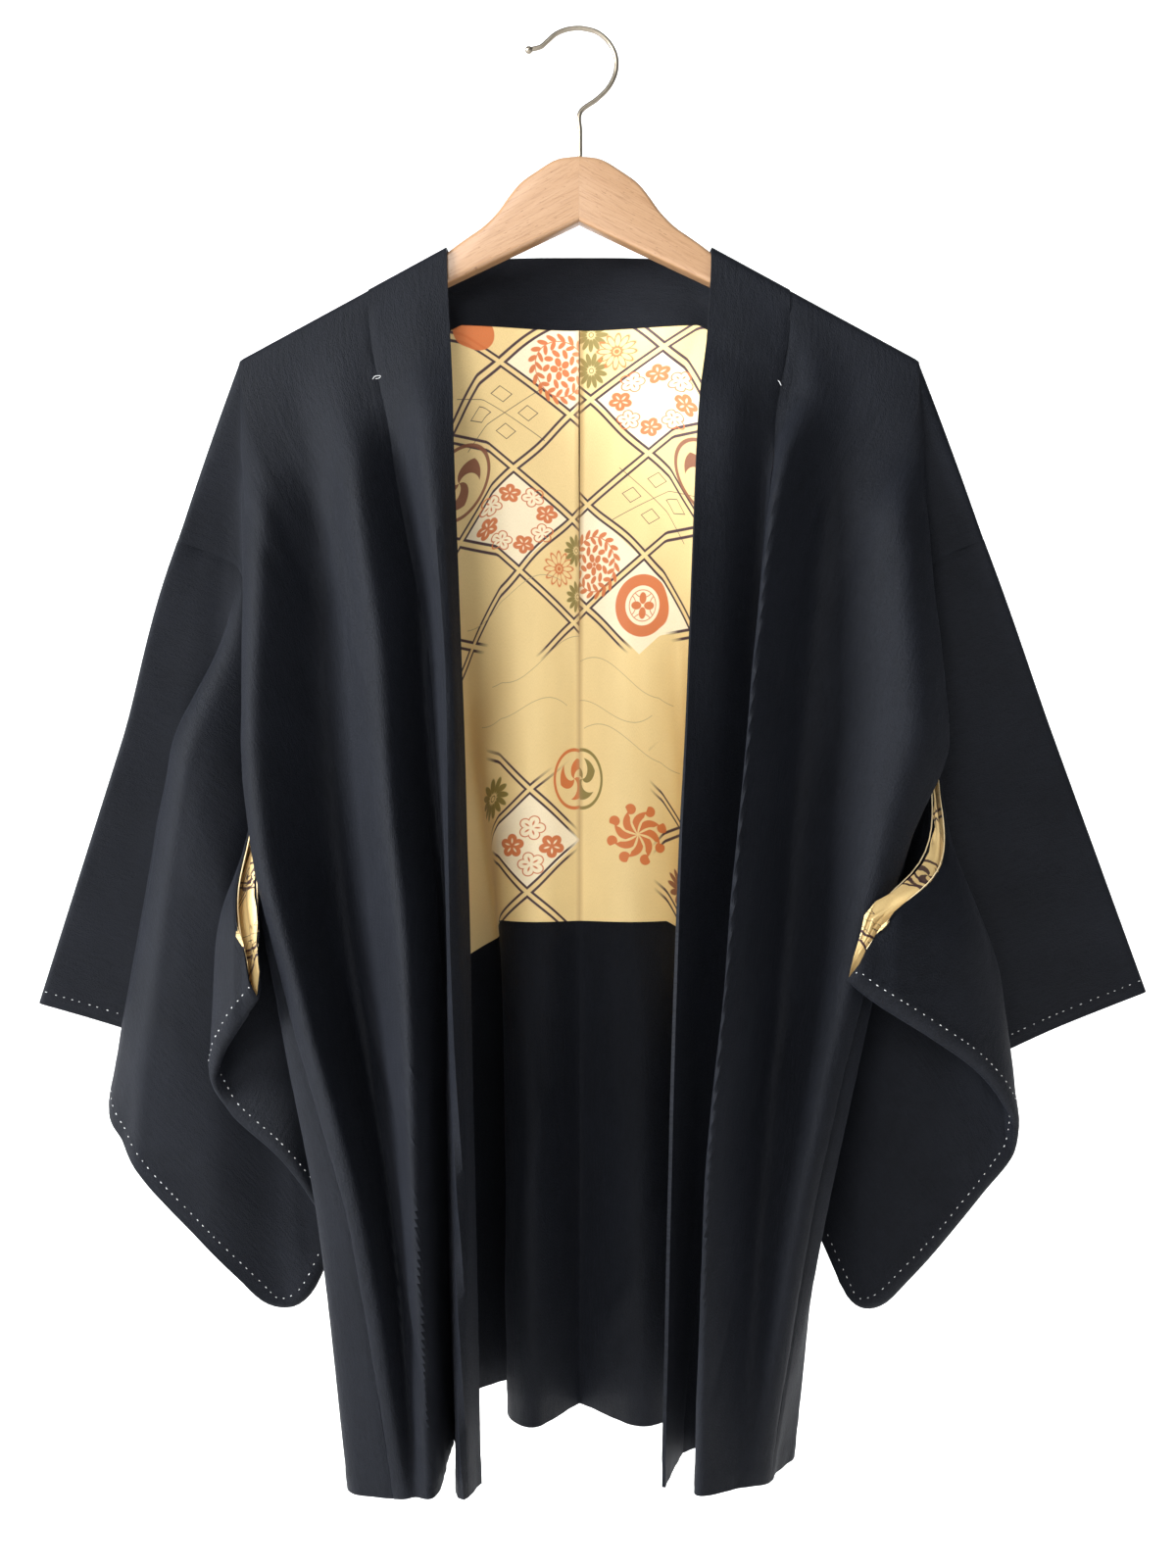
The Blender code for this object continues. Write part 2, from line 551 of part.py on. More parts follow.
@lru_cache(maxsize=None)
def seam_inset(side, v):
    """How far front and collar stop short of the seam between them."""
    near, corner, beyond = body_row(side, SEAM_A + np.array([0.008, 0.0, -0.010]), v, -1)[:, :2]
    inset = max(mitre(near, corner, beyond, COLLAR_WALL), COLLAR_GAP / 2)
    return COLLAR_GAP + (inset - COLLAR_GAP) * float(smoothstep(0.0, 0.03, v))


def marked(shares, marks, places, v):
    """Columns that settle on the folds below the shoulder."""
    moved = np.interp(shares, marks, places)
    return shares + (moved - shares) * float(smoothstep(0.0, 0.14, v))


def body_front_sheet(side, shares, levels):
    rows = []
    for v in levels:
        edge = float(side_a(v)) - side_inset(side, v, -1)[0]
        end = SEAM_A + seam_inset(side, v)
        span = float(side_a(v)) + ARM_RUN
        start, _ = side_points(side, v, -1)
        folds = fold_shares([start] + fold_points(side, v, -1)) * span / (edge - end)
        places = np.minimum(folds[:6], (0.0, 1.0, 1.0, 1.0, 0.90, 0.965))
        places = np.concatenate([places, [1.0]])
        columns = marked(shares, FRONT_MARKS, places, v)
        rows.append(body_row(side, edge + (end - edge) * columns, v, -1))
    return np.array(rows)


def clear_of_middle(near, last, wall):
    """The end of a row, drawn back so that its wall stays on its own side."""
    lean = abs(last[1] - near[1]) / np.linalg.norm(last[:2] - near[:2])
    target = SEAM_GAP / 2 + 1.1 * wall / 2 * lean
    return last + (near - last) * (target - last[0]) / (near[0] - last[0])


def body_back_sheet(side, shares, neck_shares, levels):
    """Back rows: shared columns from the side to the collar's start, then the rest."""
    rows = []
    for v in levels:
        edge = float(side_a(v)) - side_inset(side, v, 1)[0]
        end = SEAM_A + COLLAR_GAP
        span = float(side_a(v)) + HALF_BACK
        start, _ = side_points(side, v, 1)
        folds = fold_shares([start] + fold_points(side, v, 1)) * span / (edge - end)
        places = np.minimum(folds[:4], (0.0, 1.0, 1.0, 0.94))
        columns = marked(shares, BACK_MARKS, np.concatenate([places, [1.0]]), v)
        shared = body_row(side, edge + (end - edge) * columns, v, 1)
        inner = []
        for share in neck_shares[1:]:
            place = end + (-HALF_BACK - end) * share
            low = float(neck_v(place)) + COLLAR_GAP * (place < SEAM_A)
            down = v + low * max(0.0, 1 - v / LOW_START)
            inner.append(body_row(side, np.array([place]), down, 1)[0])
        inner[-1] = clear_of_middle(inner[-2], inner[-1], WALL)
        rows.append(np.vstack([shared, inner]))
    return np.array(rows)


COLLAR_TURN = 0.10                 # share of the neck that lies over the shoulder's edge
COLLAR_TOP = ((.0830, .0080, -.1417), (.0765, .0135, -.1405), (.0560, .0235, -.1370),
              (.0280, .0290, -.1345), (.0000, .0300, -.1340))


def collar_sheet(side, across, levels, around):
    """Half the collar: up the front edge, over the shoulder, round the neck."""
    rows = []
    for v in levels:
        start = SEAM_A - min(seam_inset(side, v), COLLAR_GAP / 2 + 3 * v)
        a = start + (-ARM_RUN - start) * across
        rows.append(body_row(side, a, v, -1))
    for share in around:
        a = SEAM_A + COLLAR_GAP + (-HALF_BACK - SEAM_A - COLLAR_GAP) * share
        a = min(a, SEAM_A - COLLAR_GAP / 2)
        low = max(float(neck_v(a)) - COLLAR_GAP, 0.0)
        if share <= COLLAR_TURN:
            part = share / COLLAR_TURN
            down = low + (0.0030 * part ** 2 - low) * across
            line = [body_row(side, np.array([a + (-ARM_RUN - a) * k]), d, 1)[0]
                    for k, d in zip(across, down)]
        else:
            outer = body_row(side, np.array([a]), low, 1)[0]
            inner = along(COLLAR_TOP, [(share - COLLAR_TURN) / (1 - COLLAR_TURN)])[0]
            line = outer + (inner - outer) * across[:, None]
        rows.append(np.array(line))
    return np.array(rows)


def offset(sheet, distance):
    """A sheet moved along its own normals."""
    across = np.gradient(sheet, axis=1)
    down = np.gradient(sheet, axis=0)
    normal = np.cross(across, down)
    normal /= np.maximum(np.linalg.norm(normal, axis=-1, keepdims=True), 1e-12)
    return sheet + normal * distance


# ------------------------------------------------------------------ hanger
ARM_TOP = ((.0000, -.0804), (.0136, -.0823), (.0266, -.0898), (.0372, -.0975),
           (.0437, -.1052), (.0514, -.1158), (.0607, -.1251), (.0685, -.1306),
           (.0762, -.1360), (.0830, -.1412), (.2040, -.2071), (.2085, -.2100))
ARM_LOW = ((.2110, -.2135), (.2085, -.2178), (.2030, -.2175), (.0843, -.1614), (.0000, -.1214))
HOOK_PATH = ((.0006, -.0920), (.0006, -.0640), (.0006, -.0513), (.0112, -.0428),
             (.0183, -.0357), (.0226, -.0273), (.0236, -.0192), (.0222, -.0128),
             (.0183, -.0062), (.0112, -.0004), (.0031, .0019), (-.0012, .0022),
             (-.0084, .0012), (-.0150, -.0017), (-.0202, -.0062), (-.0242, -.0096),
             (-.0300, -.0112))
SOCKET_DEPTH = 0.03
BALL_TURNS = (35, 60, 90, 120, 145, 165)   # degrees round the ball at the hook's end


# === Blender objects
BLACK_CLOTH = (0.018, 0.022, 0.032)
GOLD_CLOTH = (0.72, 0.50, 0.20)
BEECH = (0.72, 0.42, 0.20)
STEEL = (0.55, 0.55, 0.57)

SHARES = np.linspace(0, 1, COLUMNS + 1)
NECK_SHARES = np.array([0, 0.02, 0.05, 0.10, 0.22, 0.36, 0.5, 0.66, 0.83, 1.0])
TOP_LEVELS = (0.0, 0.0004, 0.0025, 0.0083, 0.03)
LINED_LEVELS = np.array([LOW_START, 0.09, 0.12, 0.15, 0.18, ARMHOLE, 0.25, 0.31, 0.365,
                         LINING_LENGTH])
BARE_LEVELS = np.linspace(LINING_LENGTH, BODY_LENGTH, 5)[1:]
BODY_LEVELS = np.concatenate([TOP_LEVELS, LINED_LEVELS, BARE_LEVELS])
SLEEVE_ANGLES = np.array([0, 0.25, 1.2, 4, 8, 11.5, 14.2, 16.8, 20, 24, 28, 31, 33.5, 36.5,
                          41, 44.7, 47.7, 49.8, 51.8, 54.3, 58, 61, 63, 65, 67.5, 70, 72.5,
                          74.41])
SLEEVE_SHARES = np.array([0, 0.18, 0.36, 0.54, 0.72, 0.87, 0.955, 0.99, 1.0])


def place(side, points):
    """World points of a side: the wearer's right hangs on the viewer's left."""
    flip = -1.0 if side == "right" else 1.0
    return [(flip * float(p[0]), float(p[1]), float(p[2])) for p in points]


def plain(name, colour, rough, metal):
    mat = bpy.data.materials.new(name)
    mat.use_nodes = True
    shader = mat.node_tree.nodes["Principled BSDF"]
    shader.inputs["Base Color"].default_value = (*colour, 1.0)
    shader.inputs["Roughness"].default_value = rough
    shader.inputs["Metallic"].default_value = metal
    return mat


def add(name, mesh, home):
    node = bpy.data.objects.new(name, mesh)
    home.objects.link(node)
    return node


def cloth(name, points, faces, wall, colour, home):
    """An open sheet given its thickness, half to each side."""
    mesh = bpy.data.meshes.new(name)
    mesh.from_pydata(points, [], faces)
    built = bmesh.new()
    built.from_mesh(mesh)
    bmesh.ops.remove_doubles(built, verts=built.verts, dist=0.00002)
    bmesh.ops.recalc_face_normals(built, faces=built.faces)
    built.to_mesh(mesh)
    built.free()
    node = add(name, mesh, home)
    thick = node.modifiers.new("wall", "SOLIDIFY")
    thick.thickness = wall
    thick.offset = 0.0
    thick.use_even_offset = False
    node.data.materials.append(plain(name, colour, 0.9, 0.0))
    return node


def strip(rows):
    """Points and faces of rows that share their first columns."""
    points, starts, faces = [], [], []
    for row in rows:
        starts.append(len(points))
        points.extend(row)
    for j in range(len(rows) - 1):
        for i in range(min(len(rows[j]), len(rows[j + 1])) - 1):
            low, high = starts[j] + i, starts[j + 1] + i
            faces.append((low, low + 1, high + 1, high))
    return points, faces


def body_panels(side, home):
    """Front and back: one length of cloth, parted here along the shoulder fold."""
    front = body_front_sheet(side, SHARES, BODY_LEVELS)
    back = body_back_sheet(side, SHARES, NECK_SHARES, BODY_LEVELS)
    for name, sheet, face in (("front_", front, -1), ("back_", back, 1)):
        sheet[0, :len(SHARES), 1] += face * FOLD_GAP / 2
        points, faces = strip([place(side, row) for row in sheet])
        cloth(name + side, points, faces, WALL, BLACK_CLOTH, home)


def collar(home):
    across = np.linspace(0, 1, 5)
    around = NECK_SHARES[1:]
    rows = [place("right", row) for row in
            collar_sheet("right", across, BODY_LEVELS[::-1], around)]
    other = [place("left", row) for row in
             collar_sheet("left", across, BODY_LEVELS[::-1], around)]
    points, faces = strip(rows + other[-2::-1])
    return cloth("collar", points, faces, COLLAR_WALL, BLACK_CLOTH, home)


def gusset(side, home):
    rows = []
    for v in [ARMHOLE + 0.008, *BODY_LEVELS[BODY_LEVELS > ARMHOLE + 0.01]]:
        front, _ = side_points(side, v, -1)
        back, _ = side_points(side, v, 1)
        width = max(float(np.linalg.norm(front - back)), 0.004)
        first = side_inset(side, v, -1)[1] / width
        last = 1 - side_inset(side, v, 1)[1] / width
        rows.append(place(side, gusset_row(side, v, np.linspace(first, last, 5))))
    points, faces = strip(rows)
    return cloth("gusset_" + side, points, faces, WALL, BLACK_CLOTH, home)


def sleeve(side, home):
    """Two layers joined along the shoulder fold and the lower edge."""
    points, faces = [], []
    for face in (-1, 1):
        start = len(points)
        rows = sleeve_grid(side, SLEEVE_ANGLES, SLEEVE_SHARES, face, BODY_LEVELS)
        more, quads = strip([place(side, row) for row in rows])
        points.extend(more)
        faces.extend([tuple(start + i for i in quad) for quad in quads])
    return cloth("sleeve_" + side, points, faces, WALL, BLACK_CLOTH, home)


def linings(side, home):
    """Linings, made from the points of the panels they lie on."""
    clear = (WALL + LINING_WALL) / 2 + SEAM_GAP
    sheet = body_back_sheet(side, SHARES, NECK_SHARES, LINED_LEVELS)[:, 1:]
    sheet = offset(sheet, clear)
    for row in sheet:
        row[-1] = clear_of_middle(row[-2], row[-1], LINING_WALL)
    points, faces = strip([place(side, row) for row in sheet])
    cloth("back_lining_" + side, points, faces, LINING_WALL, GOLD_CLOTH, home)
    low = np.flatnonzero((SLEEVE_ANGLES > 64) & (SLEEVE_ANGLES < 74))
    sheet = sleeve_grid(side, SLEEVE_ANGLES, SLEEVE_SHARES, 1, BODY_LEVELS)
    sheet = offset(sheet, -clear - SEAM_GAP)[low][:, :4]
    sheet[:, 0] += (sheet[:, 1] - sheet[:, 0]) * 0.12
    points, faces = strip([place(side, row) for row in sheet])
    cloth("sleeve_lining_" + side, points, faces, LINING_WALL, GOLD_CLOTH, home)


def hanger_arm(side, socket, home):
    """One flat arm, mitred at the middle and bored for the hook."""
    top, low = (MITRE_GAP / 2, ARM_TOP[0][1]), (MITRE_GAP / 2, ARM_LOW[-1][1])
    outline = [top, *ARM_TOP[1:], *ARM_LOW[:-1], low]
    flip = -1.0 if side == "right" else 1.0
    built = bmesh.new()
    corners = [built.verts.new((flip * u, -ARM_THICK / 2, z)) for u, z in outline]
    face = built.faces.new(corners)
    grown = bmesh.ops.extrude_face_region(built, geom=[face])
    moved = [item for item in grown["geom"] if isinstance(item, bmesh.types.BMVert)]
    bmesh.ops.translate(built, verts=moved, vec=(0.0, ARM_THICK, 0.0))
    rims = []
    for edge in built.edges:
        one, two = edge.verts
        flat = abs(one.co.y - two.co.y) < 1e-6
        mitre = abs(one.co.x) < 0.001 and abs(two.co.x) < 0.001
        if flat and not mitre:
            rims.append(edge)
    bmesh.ops.bevel(built, geom=rims, offset=ARM_ROUND, segments=2, profile=0.6,
                    affect="EDGES", clamp_overlap=True)
    bmesh.ops.recalc_face_normals(built, faces=built.faces)
    mesh = bpy.data.meshes.new("hanger_arm_" + side)
    built.to_mesh(mesh)
    built.free()
    node = add("hanger_arm_" + side, mesh, home)
    bore = node.modifiers.new("bore", "BOOLEAN")
    bore.operation = "DIFFERENCE"
    bore.solver = "EXACT"
    bore.object = socket
    mesh.materials.append(plain(node.name, BEECH, 0.5, 0.0))
    return node


def hook_socket(spare):
    """Cutter for the hole that the hook's stem sits in."""
    built = bmesh.new()
    radius = WIRE_RADIUS + SEAM_GAP
    bmesh.ops.create_cone(built, cap_ends=True, segments=24, radius1=radius, radius2=radius,
                          depth=SOCKET_DEPTH)
    low = HOOK_PATH[0][1] - SEAM_GAP
    bmesh.ops.translate(built, verts=built.verts,
                        vec=(HOOK_PATH[0][0], 0.0, low + SOCKET_DEPTH / 2))
    mesh = bpy.data.meshes.new("hook_socket")
    built.to_mesh(mesh)
    built.free()
    socket = add("hook_socket", mesh, spare)
    socket.hide_render = True
    socket.display_type = "WIRE"
    return socket


def hook(home):
    """Bent wire with a small ball at its end."""
    path = spline([(x, z) for x, z in HOOK_PATH], 3)
    curve = bpy.data.curves.new("hook", "CURVE")
    curve.dimensions = "3D"
    curve.bevel_depth = WIRE_RADIUS
    curve.bevel_resolution = 2
    curve.use_fill_caps = True
    end = path[-1]
    way = (path[-1] - path[-2]) / np.linalg.norm(path[-1] - path[-2])
    ball = HOOK_BALL / WIRE_RADIUS
    extra = []
    for turn in BALL_TURNS:
        reach = math.cos(math.radians(BALL_TURNS[0])) - math.cos(math.radians(turn))
        extra.append((*(end + way * HOOK_BALL * reach), ball * math.sin(math.radians(turn))))
    line = curve.splines.new("POLY")
    line.points.add(len(path) - 1 + len(extra) - 1)
    for i, (x, z) in enumerate(path[:-1]):
        line.points[i].co = (x, 0.0, z, 1.0)
    for i, (x, z, size) in enumerate(extra):
        line.points[len(path) - 1 + i].co = (x, 0.0, z, 1.0)
        line.points[len(path) - 1 + i].radius = size
    node = add("hook", curve, home)
    curve.materials.append(plain("hook", STEEL, 0.25, 1.0))
    return node


def main():
    for old in list(bpy.data.objects):
        bpy.data.objects.remove(old, do_unlink=True)
    home = bpy.data.collections.new("haori_on_hanger")
    spare = bpy.data.collections.new("cutters")
    bpy.context.scene.collection.children.link(home)
    bpy.context.scene.collection.children.link(spare)
    spare.hide_render = True
    socket = hook_socket(spare)
    for side in ("right", "left"):
        hanger_arm(side, socket, home)
        body_panels(side, home)
        gusset(side, home)
        sleeve(side, home)
        linings(side, home)
    collar(home)
    hook(home)


main()
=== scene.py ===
"""Looks of the haori on its wooden hanger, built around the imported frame.

Metres, +Z up, +X to the viewer's right, +Y away from the viewer, origin in the
hanger's hook.  The cloth is worked out from its own flat cut:
  a  runs along the shoulder fold, 0 at the hanger's tip, + towards the cuff
  v  runs down the cloth from the shoulder fold
Points are (u, y, z), with u the distance from the middle plane; "right" and
"left" are the wearer's sides, and the wearer's right hangs on the viewer's left.
"""
import math
from collections import namedtuple
from functools import lru_cache

import bmesh
import bpy
import numpy as np
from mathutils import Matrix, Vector

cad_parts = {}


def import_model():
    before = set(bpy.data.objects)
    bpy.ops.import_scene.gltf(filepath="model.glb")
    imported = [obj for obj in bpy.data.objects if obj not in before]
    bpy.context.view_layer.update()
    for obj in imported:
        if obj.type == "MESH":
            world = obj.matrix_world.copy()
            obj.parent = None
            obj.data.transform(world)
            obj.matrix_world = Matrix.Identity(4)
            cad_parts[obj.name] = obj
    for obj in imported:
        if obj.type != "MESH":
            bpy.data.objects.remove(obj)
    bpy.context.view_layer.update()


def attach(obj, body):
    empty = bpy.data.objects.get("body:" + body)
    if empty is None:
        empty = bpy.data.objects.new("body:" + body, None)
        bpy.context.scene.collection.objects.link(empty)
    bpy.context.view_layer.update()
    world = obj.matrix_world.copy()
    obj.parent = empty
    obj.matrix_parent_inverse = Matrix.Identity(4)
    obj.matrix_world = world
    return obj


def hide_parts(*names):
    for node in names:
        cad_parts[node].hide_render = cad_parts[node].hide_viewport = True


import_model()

# ----------------------------------------------------------------- camera
IMAGE_HEIGHT = 1600                    # pixels
FOCAL_PIXELS = 1693.5
CAMERA_PLACE = (0.0056, -1.05, -0.476)
SENSOR = 36.0                          # mm, along the image's height

# ------------------------------------------------------ cut of the haori (m)
TIP_U, TIP_Z = 0.213, -0.2095      # cloth's fold over the hanger's tip
NECK_U, NECK_Z = 0.083, -0.1387    # cloth's fold where the collar starts
SHOULDER = 0.120                   # a of the armhole seam
SLEEVE_LENGTH = 0.315
SLEEVE_DEPTH = 0.430
ARMHOLE = 0.210                    # sewn length of the armhole seam
CUFF_OPEN = 0.220                  # open length of the cuff
CORNER_RADIUS = 0.035
BODY_LENGTH = 0.745
COLLAR_WIDTH = 0.056
NECK_DROP = 0.043                  # from the shoulder's height to the collar seam at the back
LINING_LENGTH = 0.425              # v of the back lining's hem
LOW_START = 0.06                   # v below which the rows of the back are straight
ARM_CLEAR = 0.0083                 # from the arm's middle plane to the cloth's middle
NECK_CLEAR = 0.0285                # the same at the back of the neck
SEWN_HALF = 0.0016                 # half the distance between layers sewn together

SLOPE = math.atan2(NECK_Z - TIP_Z, TIP_U - NECK_U)
ARM_RUN = math.hypot(NECK_Z - TIP_Z, TIP_U - NECK_U)
HALF_BACK = ARM_RUN + NECK_U       # |a| of the centre back seam
SEAM_A = COLLAR_WIDTH - ARM_RUN    # a of the collar seam
SIDE_TAPER = 0.030                 # the side seam comes in by this much at the hem

# -------------------------------------------------- folds of the sleeves
# angle: degrees round the tip, 0 on the top fold; out and back: slope of the
# ray per unit of drop; half: half the distance between the two layers;
# take: share of the ray's length left after the small sags
Ray = namedtuple("Ray", "angle out back half take", defaults=(1.0,))
SLEEVE_FOLDS = {
    "right": [
        Ray(0, .345, .1, .005),  # top fold
        Ray(8, .205, .12, .005),
        Ray(12.6, .092, .124, .0024),
        Ray(16, .054, .102, .0012),  # far valley
        Ray(19.4, .104, .074, .0024),
        Ray(23.4, .181, .034, .0045),  # outer edge of the round fold
        Ray(28, .152, -.01, .005),
        Ray(32, .118, -.034, .0055),
        Ray(38.3, .036, -.03, .0055),
        Ray(45, -.053, -.004, .005),  # lower corner
        Ray(48.5, -.095, -.006, .0024, .99),
        Ray(50.7, -.105, -.022, .0017, .985),  # turn behind the front
        Ray(53, -.092, -.04, .0024, .98),
        Ray(56, -.062, -.056, .004, .965),
        Ray(61, .004, -.068, .0034, .95),
        Ray(64, .02, -.092, .0026, .94),  # outer edge of the near flap
        Ray(66.5, .009, -.118, .0034, .93),
        Ray(69.5, -.012, -.142, .005, .92),
        Ray(74.4, -.06, -.18, .0075, .895),  # lower corner of the open edge
    ],
    "left": [
        Ray(0, .395, .11, .005),  # top fold
        Ray(8, .253, .11, .005),
        Ray(16, .12, .1, .005),
        Ray(25, -.03, .09, .005),
        Ray(30, -.122, .086, .002),
        Ray(33, -.142, .06, .0012),  # turn behind the front
        Ray(36, -.126, .034, .002),
        Ray(39, -.104, .014, .004),
        Ray(45, -.052, -.01, .0055),  # lower corner
        Ray(50.4, .015, -.028, .0055),
        Ray(55.5, .073, -.036, .005),
        Ray(59.3, .11, -.046, .0034),
        Ray(61.3, .116, -.066, .0026, .985),  # near edge of the sleeve
        Ray(63.3, .102, -.09, .0034, .97),
        Ray(66, .066, -.116, .0044, .945),
        Ray(69.5, -.006, -.15, .0055, .92),
        Ray(73, -.112, -.19, .0075, .89),
        Ray(74.4, -.145, -.202, .0075, .88),  # lower corner of the open edge
    ],
}
SHOULDER_FOLDS = {
    "right": [
        Ray(0, .365, .03, .005),
        Ray(8, .205, .044, .003),
        Ray(16, .085, .055, .0018),
        Ray(22, .032, .057, .0018),
        Ray(28, .002, .05, .0018),
        Ray(34, -.015, .038, .002),
        Ray(45, -.03, .016, .0024),
        Ray(62, -.04, -.014, .0026),
        Ray(90, -.045, -.045, .004),
    ],
    "left": [
        Ray(0, .385, .03, .005),
        Ray(8, .235, .044, .0034),
        Ray(15, .132, .053, .0022),
        Ray(22, .076, .055, .0018),
        Ray(28, .052, .048, .0014),
        Ray(34, .041, .036, .0014),
        Ray(45, .039, .014, .0024),
        Ray(62, .044, -.018, .0026),
        Ray(90, .04, -.05, .004),
    ],
}
FOLDS_START, FOLDS_FULL = 0.13, 0.255  # distances from the tip
NEAR_START, NEAR_FULL = 0.26, 0.40     # the same for the folds next to the body
# degrees over which the first pair of distances passes to the second
NEAR_ANGLES = {"right": (28.0, 48.0), "left": (21.0, 42.0)}
PINCH_SWING, PINCH_HALF = 2.6, 0.00115  # layers close up where the doubled cloth turns
FOLD_ANGLE = {"right": 65.0, "left": 61.3}   # ray that is the front's outer fold
BACK_ANGLE = 68.0                      # ray where the back turns in
SIDE_TURN_FRONT, SIDE_TURN_BACK = 0.008, 0.018   # from the side seam to that fold, lower down
# v, and the share of the cloth's length that is left there after its small sags
SAG_LEVELS = (0.0, 0.28, 0.41, 0.55, BODY_LENGTH)
SAG_SHARES = (1.0, 0.99, 0.965, 0.93, 0.897)

# ------------------------------------------------ sections of the body (m)
# A row per level v; each column is a fold line that runs down the cloth,
# given as (distance from the middle, depth)
LEVELS = (0.06, 0.12, 0.21, 0.28, 0.41, 0.55, 0.745)
Folds = namedtuple("Folds", "fold bulge valley ridge pleat collar_ridge edge")
FRONT_FOLDS = {
    "right": [
        Folds((.2097, -.0125), (.197, -.016), (.168, -.01), (.143, -.018),
              (.122, -.013), (.098, -.019), (.079, -.014)),
        Folds((.209, -.016), (.197, -.028), (.163, -.006), (.136, -.034),
              (.112, -.012), (.094, -.034), (.0775, -.028)),
        Folds((.2086, -.024), (.199, -.038), (.16, -.004), (.121, -.044),
              (.098, -.012), (.083, -.046), (.0743, -.036)),
        Folds((.2, -.039), (.192, -.048), (.155, -.006), (.115, -.054),
              (.094, -.012), (.0778, -.058), (.071, -.046)),
        Folds((.169, -.065), (.16, -.072), (.138, -.02), (.099, -.088),
              (.0815, -.03), (.0745, -.083), (.0655, -.068)),
        Folds((.13, -.096), (.124, -.096), (.113, -.06), (.092, -.107),
              (.0805, -.034), (.069, -.1), (.0615, -.082)),
        Folds((.102, -.108), (.098, -.109), (.092, -.108), (.083, -.112),
              (.0765, -.028), (.066, -.107), (.0577, -.082)),
    ],
    "left": [
        Folds((.215, -.013), (.2, -.018), (.165, -.01), (.14, -.02),
              (.129, -.013), (.104, -.017), (.078, -.014)),
        Folds((.22, -.016), (.2, -.032), (.155, -.006), (.121, -.036),
              (.118, -.014), (.092, -.026), (.073, -.026)),
        Folds((.229, -.023), (.204, -.042), (.145, -.004), (.108, -.048),
              (.112, -.014), (.088, -.03), (.069, -.038)),
        Folds((.203, -.036), (.186, -.048), (.138, -.006), (.1, -.058),
              (.108, -.016), (.085, -.034), (.066, -.044)),
        Folds((.166, -.054), (.156, -.06), (.126, -.02), (.086, -.084),
              (.097, -.024), (.076, -.04), (.059, -.062)),
        Folds((.136, -.078), (.128, -.082), (.11, -.056), (.073, -.104),
              (.086, -.036), (.07, -.046), (.054, -.08)),
        Folds((.108, -.088), (.102, -.092), (.092, -.098), (.068, -.112),
              (.076, -.036), (.064, -.042), (.049, -.088)),
    ],
}
Back = namedtuple("Back", "outer diagonal recess turn bulge_edge bulge centre")
BACK_FOLDS = {
    "right": [
        Back((.198, .0105), (.155, .0125), (.112, .017), (.086, .021),
             (.06, .0255), (.03, .0285), (0, .0285)),
        Back((.198, .008), (.155, .011), (.112, .022), (.085, .026),
             (.06, .029), (.03, .032), (0, .031)),
        Back((.19, .004), (.153, .014), (.112, .035), (.082, .041),
             (.062, .037), (.03, .032), (0, .036)),
        Back((.184, -.006), (.146, .014), (.106, .045), (.076, .053),
             (.062, .04), (.03, .029), (0, .038)),
        Back((.16, -.03), (.126, .006), (.086, .054), (.058, .066),
             (.05, .036), (.028, .023), (0, .034)),
        Back((.136, -.046), (.106, 0), (.068, .062), (.043, .074),
             (.048, .03), (.03, .009), (0, .036)),
        Back((.12, -.04), (.098, .002), (.062, .064), (.038, .082),
             (.046, .022), (.03, .001), (0, .044)),
    ],
    "left": [
        Back((.2, .0105), (.155, .0125), (.112, .017), (.086, .021),
             (.06, .0255), (.03, .0285), (0, .0285)),
        Back((.202, .008), (.155, .011), (.112, .022), (.085, .026),
             (.06, .029), (.03, .032), (0, .031)),
        Back((.2, .004), (.153, .014), (.114, .035), (.086, .041),
             (.064, .037), (.03, .032), (0, .036)),
        Back((.186, -.003), (.146, .015), (.11, .045), (.082, .055),
             (.066, .04), (.032, .029), (0, .038)),
        Back((.158, -.024), (.128, .01), (.094, .056), (.068, .068),
             (.063, .038), (.034, .023), (0, .034)),
        Back((.136, -.04), (.11, .006), (.078, .064), (.054, .076),
             (.062, .032), (.038, .009), (0, .036)),
        Back((.124, -.04), (.102, .006), (.072, .066), (.05, .084),
             (.0615, .024), (.04, .003), (0, .044)),
    ],
}
# side seams below the armhole and the outermost line of the gusset between,
# a row per level but the first, where the seam is still the sleeve's
SIDE_LEVELS = LEVELS[2:]
Side = namedtuple("Side", "front gusset back")
SIDES = {
    "right": [
        Side((.199, -.03), (.201, -.022), (.1945, -.011)),
        Side((.1706, -.06), (.1785, -.054), (.172, -.033)),
        Side((.1331, -.0925), (.1515, -.082), (.15, -.054)),
        Side((.105, -.106), (.131, -.096), (.129, -.058)),
    ],
    "left": [
        Side((.201, -.028), (.205, -.019), (.198, -.007)),
        Side((.168, -.048), (.176, -.04), (.17, -.019)),
        Side((.138, -.07), (.148, -.06), (.148, -.04)),
        Side((.112, -.083), (.116, -.07), (.13, -.048)),
    ],
}


